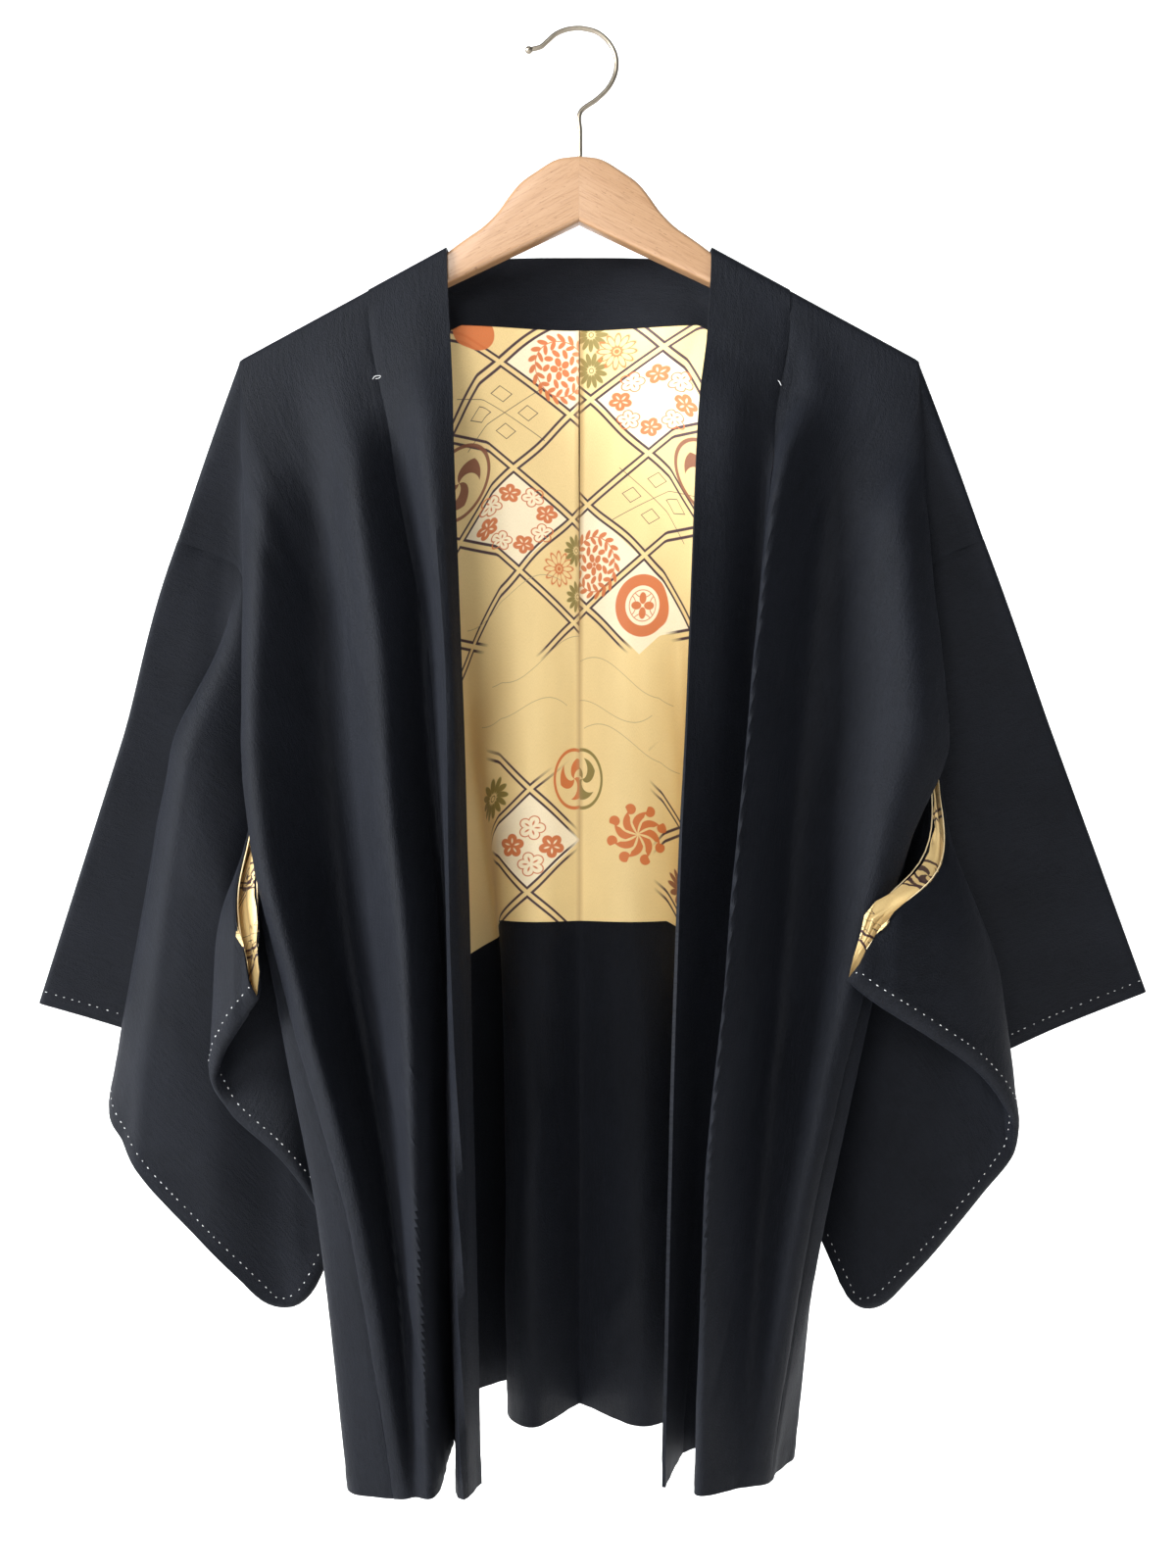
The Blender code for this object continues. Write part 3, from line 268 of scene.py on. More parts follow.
# ------------------------------------------------------------- small maths
def ease(xs, ys, x):
    """Smooth curve through (xs, ys) that never overshoots, at x."""
    xs = np.asarray(xs, float)
    ys = np.asarray(ys, float)
    x = np.clip(np.asarray(x, float), xs[0], xs[-1])
    step = np.diff(xs)
    rise = np.diff(ys) / step
    slope = np.zeros(len(xs))
    slope[0], slope[-1] = rise[0], rise[-1]
    same = rise[:-1] * rise[1:] > 0
    weight_a = 2 * step[1:] + step[:-1]
    weight_b = step[1:] + 2 * step[:-1]
    with np.errstate(divide="ignore", invalid="ignore"):
        mean = (weight_a + weight_b) / (weight_a / rise[:-1] + weight_b / rise[1:])
    slope[1:-1] = np.where(same, mean, 0.0)
    i = np.clip(np.searchsorted(xs, x, side="right") - 1, 0, len(step) - 1)
    t = (x - xs[i]) / step[i]
    return ((1 + 2 * t) * (1 - t) ** 2 * ys[i] + t * (1 - t) ** 2 * step[i] * slope[i]
            + t * t * (3 - 2 * t) * ys[i + 1] + t * t * (t - 1) * step[i] * slope[i + 1])


def smoothstep(low, high, x):
    """0 below low, 1 above high, smooth between."""
    t = np.clip((np.asarray(x, float) - low) / (high - low), 0.0, 1.0)
    return t * t * (3.0 - 2.0 * t)


def spline(points, samples=20):
    """Dense centripetal Catmull-Rom curve through the points."""
    pts = np.asarray(points, float)
    pts = np.vstack([2 * pts[0] - pts[1], pts, 2 * pts[-1] - pts[-2]])
    knots = np.concatenate([[0], np.cumsum(np.maximum(
        np.linalg.norm(np.diff(pts, axis=0), axis=1), 1e-5) ** 0.5)])
    out = []
    for i in range(1, len(pts) - 2):
        t0, t1, t2, t3 = knots[i - 1:i + 3]
        t = np.linspace(t1, t2, samples, endpoint=False)[:, None]
        a1 = (t1 - t) / (t1 - t0) * pts[i - 1] + (t - t0) / (t1 - t0) * pts[i]
        a2 = (t2 - t) / (t2 - t1) * pts[i] + (t - t1) / (t2 - t1) * pts[i + 1]
        a3 = (t3 - t) / (t3 - t2) * pts[i + 1] + (t - t2) / (t3 - t2) * pts[i + 2]
        b1 = (t2 - t) / (t2 - t0) * a1 + (t - t0) / (t2 - t0) * a2
        b2 = (t3 - t) / (t3 - t1) * a2 + (t - t1) / (t3 - t1) * a3
        out.append((t2 - t) / (t2 - t1) * b1 + (t - t1) / (t2 - t1) * b2)
    out.append(pts[-2][None, :])
    return np.vstack(out)


def lengths(points):
    """How far along a line each of its points is."""
    return np.concatenate([[0], np.cumsum(np.linalg.norm(np.diff(points, axis=0), axis=1))])


def read(places, run, points):
    """A line's points at places along it; run is where each given point is."""
    return np.stack([np.interp(places, run, column) for column in points.T], -1)


def unit(vectors):
    return vectors / np.maximum(np.linalg.norm(vectors, axis=-1, keepdims=True), 1e-12)


def along(points, shares, turn=None, samples=20):
    """Points at the given shares of the length of a smooth curve.

    turn: share of the cloth that lies before the curve's second point.
    """
    dense = spline(points, samples)
    run = lengths(dense)
    places = np.asarray(shares, float) * run[-1]
    if turn is not None:
        places = np.interp(shares, (0.0, turn, 1.0), (0.0, run[samples], run[-1]))
    return read(places, run, dense)


# ----------------------------------------------------- cloth beyond the tip
def polar(a, v):
    """Distance and angle (degrees) of a place on the cut, round the tip."""
    return np.hypot(a, v), np.degrees(np.arctan2(v, np.maximum(a, 1e-9)))


def ray_mix(table, angle):
    """A table's out, back, take and half at an angle."""
    angles = [ray.angle for ray in table]
    return [ease(angles, [getattr(ray, name) for ray in table], angle)
            for name in ("out", "back", "take", "half")]


def fold_mix(reach, angle, side):
    """How far the sleeve's own folds have taken over from the shoulder's."""
    near = smoothstep(*NEAR_ANGLES[side], angle)
    start = FOLDS_START + (NEAR_START - FOLDS_START) * near
    full = FOLDS_FULL + (NEAR_FULL - FOLDS_FULL) * near
    return smoothstep(0.0, 1.0, (reach - start) / (full - start))


def fan(side, a, v):
    """Middle of the doubled cloth beyond the hanger's tip: (u, y, z)."""
    reach, angle = polar(a, v)
    high = ray_mix(SHOULDER_FOLDS[side], angle)
    low = ray_mix(SLEEVE_FOLDS[side], angle)
    mix = fold_mix(reach, angle, side)
    out, back, take, _ = [(1 - mix) * h + mix * l for h, l in zip(high, low)]
    back = back * smoothstep(0.0, 0.12, reach)
    drop = reach * take / np.sqrt(1 + out * out + back * back)
    return np.stack([TIP_U + out * drop, back * drop, TIP_Z - drop], -1)


def fan_normal(side, a, v):
    """Unit normal of the fan on its front face."""
    step = 0.002
    across = fan(side, a + step, v) - fan(side, np.maximum(a - step, 1e-4), v)
    down = fan(side, a, v + step) - fan(side, a, np.maximum(v - step, 0.0))
    return unit(np.cross(across, down))


def sleeve_end(a):
    """Lowest v of the sleeve at a, with its rounded lower corner."""
    past = np.maximum(np.asarray(a, float) - (SHOULDER + SLEEVE_LENGTH - CORNER_RADIUS), 0.0)
    past = np.minimum(past, CORNER_RADIUS)
    return SLEEVE_DEPTH - CORNER_RADIUS + np.sqrt(CORNER_RADIUS ** 2 - past ** 2)


def half_gap(side, a, v):
    """Half the distance between the two layers of the sleeve and shoulder."""
    a = np.asarray(a, float)
    v = np.asarray(v, float)
    reach, angle = polar(a, v)
    mix = fold_mix(reach, angle, side)
    gap = (1 - mix) * ray_mix(SHOULDER_FOLDS[side], angle)[3]
    gap = gap + mix * ray_mix(SLEEVE_FOLDS[side], angle)[3]
    gap = gap + (ARM_CLEAR - gap) * (1 - smoothstep(0.03, 0.12, reach))
    sewn = smoothstep(CUFF_OPEN, CUFF_OPEN + 0.02, v)
    pinch = smoothstep(SHOULDER + SLEEVE_LENGTH - 0.05, SHOULDER + SLEEVE_LENGTH, a) * sewn
    gap = gap * (1 - pinch) + SEWN_HALF * pinch
    round_top = (1 - (1 - np.clip(v / gap, 0, 1)) ** 4) ** 0.25
    left = np.clip((sleeve_end(a) - v) / (2 * gap), 0, 1)
    round_low = np.where(a > SHOULDER - 1e-6, np.sqrt(1 - (1 - left) ** 2), 1.0)
    return gap * round_top * round_low


def layer(side, a, v, face):
    """Front (face -1) or back (face +1) layer of the doubled cloth."""
    a = np.asarray(a, float)
    v = np.asarray(v, float)
    half = half_gap(side, a, v)[..., None]
    way = np.zeros(a.shape + (3,))
    for swing in (-PINCH_SWING, 0.0, PINCH_SWING):
        turn = math.radians(swing)
        near_a = np.maximum(a * math.cos(turn) - v * math.sin(turn), 1e-4)
        near_v = np.maximum(v * math.cos(turn) + a * math.sin(turn), 0.0)
        way = way + fan_normal(side, near_a, near_v) / 3
    length = np.linalg.norm(way, axis=-1, keepdims=True)
    pinched = np.maximum(half * length, np.minimum(half, PINCH_HALF)) / length
    turned = smoothstep(0.08, 0.13, np.hypot(a, v))[..., None]
    way = way * pinched * turned + np.array([0.0, 1.0, 0.0]) * half * (1 - turned)
    return fan(side, a, v) + way * face


# -------------------------------------------------- cloth between the tips
def side_a(v):
    """a of the body's side edge."""
    return SHOULDER - SIDE_TAPER * smoothstep(ARMHOLE, BODY_LENGTH, v)


def neck_v(a):
    """v of the back panel's upper edge, where the collar is sewn on."""
    return NECK_DROP * smoothstep(0.0, 0.045, SEAM_A - np.asarray(a, float))


def hang_z(a, v):
    """Height of a point of the body."""
    a = np.asarray(a, float)
    top = np.where(a > 0, TIP_Z, np.minimum(TIP_Z - a * math.sin(SLOPE), NECK_Z))
    slack = ease(SAG_LEVELS, SAG_SHARES, v)
    straight = np.clip(-a / ARM_RUN, 0, 1)
    return top - np.hypot(np.maximum(a, 0), v) * (slack + (1.0 - slack) * straight)


def over_arm(side, a, v, face):
    """Smooth cloth close to the shoulder fold."""
    a = np.asarray(a, float)
    reach = np.clip(-a, 0, ARM_RUN)
    past = np.maximum(-a - ARM_RUN, 0.0)
    u = TIP_U - reach * math.cos(SLOPE) - past
    gap = ARM_CLEAR * (1 - (1 - np.clip(v / ARM_CLEAR, 0, 1)) ** 4) ** 0.25
    y = face * gap + (NECK_CLEAR - ARM_CLEAR) * smoothstep(0.0, NECK_U, past) * (face > 0)
    inner = np.stack([u, y + 0 * u, hang_z(a, v)], -1)
    outer = layer(side, np.maximum(a, 0.0), v + 0 * a, face)
    step = layer(side, np.zeros(1), np.full(1, v), face)[0]
    step = step - np.array([TIP_U, face * gap, float(hang_z(0.0, v))])
    inner = inner + step * (1 - smoothstep(0.0, 0.06, -a))[:, None]
    return np.where((a > 0)[:, None], outer, inner)


@lru_cache(maxsize=None)
def side_points(side, v, face):
    """(u, y) of the body's side seam and the height it has over hang_z."""
    top = layer(side, np.array([SHOULDER]), np.array([min(v, ARMHOLE)]), face)[0]
    lift = top[2] - float(hang_z(SHOULDER, min(v, ARMHOLE)))
    if v <= ARMHOLE:
        return top[:2], lift
    name = "front" if face < 0 else "back"
    rows = [top[:2]] + [getattr(row, name) for row in SIDES[side]]
    place = np.array([ease(SIDE_LEVELS, [row[i] for row in rows], v) for i in (0, 1)])
    return place, lift * float(1 - smoothstep(ARMHOLE, 0.40, v))


def fold_points(side, v, face):
    """(u, y) of each fold line at one v."""
    table = FRONT_FOLDS[side] if face < 0 else BACK_FOLDS[side]
    return [[float(ease(LEVELS, [row[column][i] for row in table], v)) for i in (0, 1)]
            for column in range(len(table[0]))]


def body_row(side, a, v, face):
    """Points of the front (face -1) or back (face +1) panel at one v."""
    a = np.asarray(a, float)
    start, lift = side_points(side, v, face)
    points = [start] + fold_points(side, v, face)
    edge = float(side_a(v))
    end = ARM_RUN if face < 0 else HALF_BACK
    angle = FOLD_ANGLE[side] if face < 0 else BACK_ANGLE
    turn_in = SIDE_TURN_FRONT if face < 0 else SIDE_TURN_BACK
    fold_a = min(v / math.tan(math.radians(angle)), edge - turn_in)
    shares = (edge - a) / (edge + end)
    flat = along(points, shares, (edge - fold_a) / (edge + end))
    z = hang_z(a, v) + lift * (1 - smoothstep(0.0, 0.20, shares))
    folded = np.concatenate([flat, z[:, None]], 1)
    mix = float(smoothstep(0.0, 0.10, v))
    if mix >= 1.0:
        return folded
    return (1 - mix) * over_arm(side, a, v, face) + mix * folded


def gusset_row(side, v, shares):
    """Points across the gusset, from the front seam to the back seam."""
    front, lift = side_points(side, v, -1)
    back, _ = side_points(side, v, 1)
    top = layer(side, np.array([SHOULDER]), np.array([ARMHOLE]), 0)[0, :2]
    rows = [top] + [row.gusset for row in SIDES[side]]
    middle = [ease(SIDE_LEVELS, [row[i] for row in rows], v) for i in (0, 1)]
    flat = along([front, middle, back], shares)
    z = hang_z(side_a(v), v) + lift
    return np.concatenate([flat, np.full((len(flat), 1), float(z))], 1)


# ------------------------------------------------------------ whole pieces
def ray_end(angle):
    """Distance from the tip to the sleeve's cuff or lower edge along a ray."""
    cuff = SHOULDER + SLEEVE_LENGTH
    run, fall = math.cos(math.radians(angle)), math.sin(math.radians(angle))
    ends = [cuff / max(run, 1e-9), SLEEVE_DEPTH / max(fall, 1e-9)]
    a, v = cuff - CORNER_RADIUS, SLEEVE_DEPTH - CORNER_RADIUS
    middle = a * run + v * fall
    inside = middle * middle - a * a - v * v + CORNER_RADIUS ** 2
    if inside > 0:
        arc = middle + math.sqrt(inside)
        if arc * run > a and arc * fall > v:
            ends.append(arc)
    return min(ends)


COLLAR_TURN = 0.10                 # share of the neck that lies over the shoulder's edge
COLLAR_LIFT = 0.003                # the collar's inner edge stands up at the neck's side
COLLAR_TOP = ((.0830, .0080, -.1417), (.0765, .0135, -.1405), (.0560, .0235, -.1370),
              (.0280, .0290, -.1345), (.0000, .0300, -.1340))


# ------------------------------------------------------------- fine sheets
# A patch is a grid of points with the place of each on the flat cut.
Patch = namedtuple("Patch", "points cut")

FRONT_COLUMNS = 96                 # from the side seam to the collar's seam
NECK_COLUMNS = 56                  # from there to the centre back
GUSSET_COLUMNS = 24
COLLAR_COLUMNS = 14
SHELL = 0.0012                     # thickness of the cloth that is shown
COLLAR_SHELL = 0.0022
LINING_SHELL = 0.0005
LINING_CLEAR = 0.0011              # from the middle of the cloth to the lining's
LINING_SIDE = 0.0                  # a of the back lining's side edge
LINING_TOP = 0.001                 # v above which it has no rows
LINING_SLACK = 0.003               # its last row may lie this much below its hem
TOP_ROWS = (0.0, 0.0004, 0.001, 0.0018, 0.003, 0.005, 0.0083, 0.012, 0.016, 0.021, 0.026,
            0.031)
ROWS = np.concatenate([TOP_ROWS, np.linspace(0.0365, BODY_LENGTH, 130)])
TOP_RAYS = (0.0, 0.03, 0.08, 0.16, 0.3, 0.5, 0.8, 1.2, 1.7, 2.4, 3.2)
RAYS = np.concatenate([TOP_RAYS, np.linspace(4.0, 74.41, 150)])
EDGE_REACH = (0.984, 0.990, 0.995, 0.998, 1.0)
REACHES = np.concatenate([np.linspace(0.0, 0.978, 62), EDGE_REACH])
SEAM_DIP, SEAM_DIP_WIDTH = 0.0009, 0.0022
HEM_TURN = 0.012                   # width of the turned hem that shows as a step
WAVES = 16
WAVE_SHORT, WAVE_LONG = 0.018, 0.075
WAVE_LEAN = 0.35
WAVE_HEIGHT = 0.0042 * 0.32        # of each wave, as a share of its length


def wavy(a, v, face):
    """Small unevenness of hung cloth, the same at each run."""
    random = np.random.default_rng(11)
    total = np.zeros(np.shape(a))
    for _ in range(WAVES):
        long = random.uniform(WAVE_SHORT, WAVE_LONG)
        lean = random.normal(0.0, WAVE_LEAN)
        phase = random.uniform(0, 2 * math.pi) + 2.1 * face
        total = total + WAVE_HEIGHT * long * np.sin(2 * math.pi * (a + lean * v) / long + phase)
    return total


Crease = namedtuple("Crease", "a0 v0 a1 v1 width depth")


def creases(table, a, v):
    """Soft troughs (- depth) and ridges (+ depth), each along its own line."""
    total = np.zeros(np.shape(a))
    for crease in table:
        run = np.array([crease.a1 - crease.a0, crease.v1 - crease.v0])
        length = float(np.linalg.norm(run))
        along_it = ((a - crease.a0) * run[0] + (v - crease.v0) * run[1]) / length ** 2
        held = np.clip(along_it, 0.0, 1.0)
        away = np.hypot(a - crease.a0 - held * run[0], v - crease.v0 - held * run[1])
        fade = smoothstep(-0.02, 0.3, along_it) * (1 - smoothstep(0.7, 1.02, along_it))
        total = total + crease.depth * np.exp(-(away / crease.width) ** 2) * fade
    return total


def seam(distance, along_it):
    """A sewn line: a fine dip with small puckers beside it."""
    dip = -SEAM_DIP * np.exp(-(distance / SEAM_DIP_WIDTH) ** 2)
    pucker = 0.00022 * np.sin(along_it / 0.0031) * np.sin(along_it / 0.0173 + 1.0)
    return dip + pucker * np.exp(-distance / 0.010)


def hem(distance, along_it):
    """A turned edge: slightly proud, with small puckers."""
    turned = 0.00035 * (1 - smoothstep(HEM_TURN - 0.001, HEM_TURN + 0.0005, distance))
    pucker = 0.00030 * np.sin(along_it / 0.0027) * np.sin(along_it / 0.0131)
    return turned + pucker * np.exp(-distance / 0.016)


def grid_normals(points):
    return unit(np.cross(np.gradient(points, axis=1), np.gradient(points, axis=0)))


def moved(points, distance, sign):
    """Grid points moved along the grid's own normals."""
    return points + grid_normals(points) * sign * np.asarray(distance)[..., None]


def body_relief(side, face, a, v):
    """Creases, seams and hem of a panel, as a height over it."""
    relief = creases(BODY_CREASES[side, face], a, v)
    relief = relief + wavy(a, v, face) * smoothstep(0.02, 0.12, v)
    relief = relief + seam(side_a(v) - a, v) + hem(BODY_LENGTH - v, a)
    relief = relief + seam(a - (SEAM_A if face < 0 else -HALF_BACK), v)
    return relief * smoothstep(0.004, 0.03, v)


@lru_cache(maxsize=None)
def plain_rows(side, face):
    """Rows of points at each level, from the side seam to the middle."""
    outer = np.linspace(0, 1, FRONT_COLUMNS + 1)
    last = -ARM_RUN if face < 0 else -HALF_BACK
    inner = np.linspace(SEAM_A, last, NECK_COLUMNS + 1)[1:]
    rows, cut = [], []
    for v in ROWS:
        edge = float(side_a(v))
        a = np.concatenate([edge + (SEAM_A - edge) * outer, inner])
        rows.append(body_row(side, a, v, face))
        cut.append(np.stack([a, np.full(len(a), v)], -1))
    return np.array(rows), np.array(cut)


def body_point(side, face, a, v):
    """A point near the shoulder, read between the rows."""
    rows, cut = plain_rows(side, face)
    high = ROWS < 0.2
    across = [read(-a, -line[:, 0], row) for row, line in zip(rows[high], cut[high])]
    return read(v, ROWS[high], np.array(across))


@lru_cache(maxsize=None)
def body_patch(side, face):
    """Front or back panel; the back's upper edge is cut out for the neck."""
    points, cut = (grid.copy() for grid in plain_rows(side, face))
    if face < 0:
        points, cut = points[:, :FRONT_COLUMNS + 1], cut[:, :FRONT_COLUMNS + 1]
    else:
        fall = np.maximum(0.0, 1 - ROWS / LOW_START)
        for i in range(FRONT_COLUMNS + 1, points.shape[1]):
            drop = ROWS + float(neck_v(cut[0, i, 0])) * fall
            for k in range(3):
                points[:, i, k] = np.interp(drop, ROWS, points[:, i, k].copy())
            cut[:, i, 1] = drop
    relief = body_relief(side, face, cut[..., 0], cut[..., 1])
    return Patch(moved(points, relief, -face), cut)


def edge_distance(a, v):
    """How far a place on the sleeve is from its cuff or lower edge."""
    return np.minimum(sleeve_end(a) - v, SHOULDER + SLEEVE_LENGTH - a)


def sleeve_relief(side, face, a, v):
    """Creases, seam and turned edge of a sleeve's layer, as a height over it."""
    edge = edge_distance(a, v)
    relief = creases(SLEEVE_CREASES[side, face], a, v) + wavy(a, v, face)
    relief = relief + seam(a - SHOULDER, v) + hem(np.maximum(edge, 0), a + v)
    closed = smoothstep(0.0, 0.012, v) * smoothstep(0.0, 0.008, edge)
    return relief * closed


# how far the sleeve's back layer shows past the front layer's open edge
FURI_SHOW = {"right": 0.026, "left": 0.021}
FURI_TOP = math.degrees(math.atan2(ARMHOLE, SHOULDER))          # its two ends, as rays
FURI_LOW = math.degrees(math.atan2(SLEEVE_DEPTH, SHOULDER))


def furi_shift(side, face, angle):
    """How far a layer's open edge below the arm is drawn in towards the body."""
    if face < 0:
        return 0.0
    share = min(max((angle - FURI_TOP) / (FURI_LOW - FURI_TOP), 0.0), 1.0)
    return FURI_SHOW[side] * math.sin(math.pi * share ** 0.6)


@lru_cache(maxsize=None)
def sleeve_patch(side, face):
    """One layer of the sleeve: a row for each ray, from the armhole outwards."""
    rows, cut = [], []
    for angle in np.minimum(RAYS, FURI_LOW):
        first = (SHOULDER - furi_shift(side, face, angle)) / math.cos(math.radians(angle))
        reach = first + (ray_end(angle) - first) * REACHES
        a = reach * math.cos(math.radians(angle))
        v = reach * math.sin(math.radians(angle))
        rows.append(layer(side, a, v, face))
        cut.append(np.stack([a, v], -1))
    points, cut = np.array(rows), np.array(cut)
    relief = sleeve_relief(side, face, cut[..., 0], cut[..., 1])
    return Patch(moved(points, relief, face), cut)


def gusset_patch(side):
    """The wedge between front and back, a row at each level."""
    shares = np.linspace(0, 1, GUSSET_COLUMNS + 1)
    rows, cut = [], []
    for v in ROWS[ROWS > ARMHOLE + 0.004]:
        row = gusset_row(side, v, shares)
        width = np.linalg.norm(np.diff(row, axis=0), axis=1).sum()
        rows.append(row)
        cut.append(np.stack([width * shares, np.full(len(shares), v)], -1))
    points, cut = np.array(rows), np.array(cut)
    width = cut[:, -1:, 0]
    relief = seam(cut[..., 0], cut[..., 1]) + seam(width - cut[..., 0], cut[..., 1])
    relief = relief + hem(BODY_LENGTH - cut[..., 1], cut[..., 0])
    return Patch(moved(points, relief, -1.0), cut)


def collar_patch(side):
    """Half the collar: up the front edge, over the shoulder, round the neck."""
    across = np.linspace(0, 1, COLLAR_COLUMNS + 1)
    rows, cut = [], []
    for v in ROWS[::-1]:
        a = SEAM_A + (-ARM_RUN - SEAM_A) * across
        rows.append(body_row(side, a, v, -1))
        cut.append(np.stack([a, np.full(len(a), v)], -1))
    around = np.concatenate([np.linspace(0.01, COLLAR_TURN, 10), np.linspace(0.13, 1.0, 40)])
    for share in around:
        a = SEAM_A + (-HALF_BACK - SEAM_A) * share
        low = float(neck_v(a))
        if share <= COLLAR_TURN + 1e-9:
            part = share / COLLAR_TURN
            down = low + (COLLAR_LIFT * part ** 2 - low) * across
            line = [body_point(side, 1, a + (-ARM_RUN - a) * k, d)
                    for k, d in zip(across, down)]
        else:
            outer = body_point(side, 1, a, low)
            inner = along(COLLAR_TOP, [(share - COLLAR_TURN) / (1 - COLLAR_TURN)])[0]
            line = outer + (inner - outer) * across[:, None]
        rows.append(np.array(line))
        cut.append(np.stack([-ARM_RUN - (ARM_RUN + SEAM_A) * (across - 1),
                             np.full(len(across), SEAM_A - a)], -1))
    points, cut = np.array(rows), np.array(cut)
    v = cut[..., 1]
    relief = seam(across * COLLAR_WIDTH, v) + 0.6 * wavy(cut[..., 0], v, 3)
    relief = relief + hem(BODY_LENGTH - v, cut[..., 0])
    smooth_from = len(ROWS) - 8        # from just below the shoulder, round the neck
    relief[smooth_from:] = 0.0
    return Patch(moved(points, relief, -1.0), cut)


# ----------------------------------------------------------------- creases
# Where each starts and ends on the flat cut, its width and its depth
BODY_CREASES = {
    ("right", -1): [
        Crease(.060, .020, .020, .150, .008, -.0012),
        Crease(.030, .030, -.010, .200, .010, -.0010),
        Crease(-.020, .020, -.030, .260, .007, .0010),
        Crease(.070, .330, .010, .520, .010, -.0014),
        Crease(.060, .560, .030, .700, .009, -.0012),
        Crease(-.070, .300, -.078, .560, .005, .0009),
    ],
    ("left", -1): [
        Crease(.060, .020, .020, .170, .008, -.0012),
        Crease(.020, .020, -.015, .210, .010, -.0010),
        Crease(-.030, .020, -.036, .280, .007, .0010),
        Crease(.080, .340, .020, .520, .010, -.0014),
        Crease(.040, .600, .020, .690, .007, -.0014),
        Crease(-.066, .260, -.074, .500, .005, .0009),
    ],
    ("right", 1): [
        Crease(.050, .060, -.060, .330, .012, -.0016),
        Crease(-.030, .050, -.120, .380, .010, .0012),
        Crease(-.200, .520, -.150, .700, .010, -.0016),
        Crease(-.180, .420, -.196, .560, .009, .0014),
        Crease(.060, .380, .020, .640, .011, -.0014),
    ],
    ("left", 1): [
        Crease(.050, .060, -.050, .350, .012, -.0016),
        Crease(-.020, .050, -.110, .400, .010, .0012),
        Crease(-.130, .590, -.222, .715, .010, -.0020),
        Crease(-.190, .430, -.180, .600, .009, .0012),
        Crease(.055, .400, .010, .660, .011, -.0014),
    ],
}
SLEEVE_CREASES = {
    ("right", -1): [
        Crease(.180, .090, .400, .190, .010, -.0012),
        Crease(.160, .160, .330, .380, .012, .0012),
        Crease(.140, .230, .230, .410, .009, -.0012),
    ],
    ("left", -1): [
        Crease(.180, .070, .410, .160, .010, -.0012),
        Crease(.160, .170, .300, .390, .012, .0012),
        Crease(.140, .240, .190, .400, .009, -.0012),
    ],
    ("right", 1): [
        Crease(.200, .060, .400, .120, .010, -.0012),
        Crease(.150, .200, .300, .400, .011, .0012),
    ],
    ("left", 1): [
        Crease(.210, .080, .410, .200, .010, -.0012),
        Crease(.150, .190, .260, .400, .011, .0012),
    ],
}


# --------------------------------------------------------- making of meshes
def world(side, points):
    """World places of a side's points."""
    flip = -1.0 if side == "right" else 1.0
    return np.asarray(points, float).reshape(-1, 3) * (flip, 1.0, 1.0)


def grid_faces(rows, columns, start=0):
    """Four-sided faces between a grid's points."""
    faces = []
    for j in range(rows - 1):
        for i in range(columns - 1):
            low = start + j * columns + i
            faces.append((low, low + 1, low + columns + 1, low + columns))
    return faces


Sheet = namedtuple("Sheet", "points cut faces")


def joined(*patches):
    """World points, cut places and faces of several (side, patch) pairs."""
    points, cut, faces = [], [], []
    for side, patch in patches:
        rows, columns = patch.points.shape[:2]
        faces += grid_faces(rows, columns, sum(len(p) for p in points))
        points.append(world(side, patch.points))
        cut.append(patch.cut.reshape(-1, 2))
    return Sheet(np.vstack(points), np.vstack(cut), faces)


def placed(name, data):
    """A new object in the scene."""
    made = bpy.data.objects.new(name, data)
    bpy.context.scene.collection.objects.link(made)
    return made


def dressed(piece, slot, *nodes):
    """Fixes a piece to the body and hides the nodes it replaces; slot is not used."""
    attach(piece, "root")
    if nodes:
        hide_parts(*nodes)


SHARP_ANGLE = 50.0                 # degrees: edges sharper than this stay sharp


def solid(name, sheet, wall, materials, bands=None):
    """A closed shell on an open sheet, with the cut as its UV map."""
    mesh = bpy.data.meshes.new(name)
    mesh.from_pydata(sheet.points.tolist(), [], sheet.faces)
    uv = mesh.uv_layers.new(name="cut")
    corners = np.empty(len(mesh.loops), dtype=np.int32)
    mesh.loops.foreach_get("vertex_index", corners)
    uv.data.foreach_set("uv", sheet.cut[corners].astype(np.float32).ravel())
    for material in materials:
        mesh.materials.append(material)
    if bands is not None:
        mesh.polygons.foreach_set("material_index", bands)
    built = bmesh.new()
    built.from_mesh(mesh)
    bmesh.ops.remove_doubles(built, verts=built.verts, dist=0.00001)
    bmesh.ops.recalc_face_normals(built, faces=built.faces)
    built.to_mesh(mesh)
    built.free()
    piece = placed(name, mesh)
    thick = piece.modifiers.new("shell", "SOLIDIFY")
    thick.thickness = wall
    thick.offset = 0.0
    thick.use_even_offset = False
    thick.material_offset = len(materials) // 2
    thick.material_offset_rim = 0
    piece.data = evaluated(piece)
    piece.modifiers.clear()
    piece.data.set_sharp_from_angle(angle=math.radians(SHARP_ANGLE))
    return piece


def evaluated(piece):
    """A smooth-shaded mesh of a piece with its modifiers applied."""
    graph = bpy.context.evaluated_depsgraph_get()
    mesh = bpy.data.meshes.new_from_object(piece.evaluated_get(graph))
    mesh.shade_smooth()
    return mesh


# --------------------------------------------------------------- materials
def maths(operation):
    """A method that puts one Math node after a field."""
    return lambda field, *others: field.node(operation, *others)


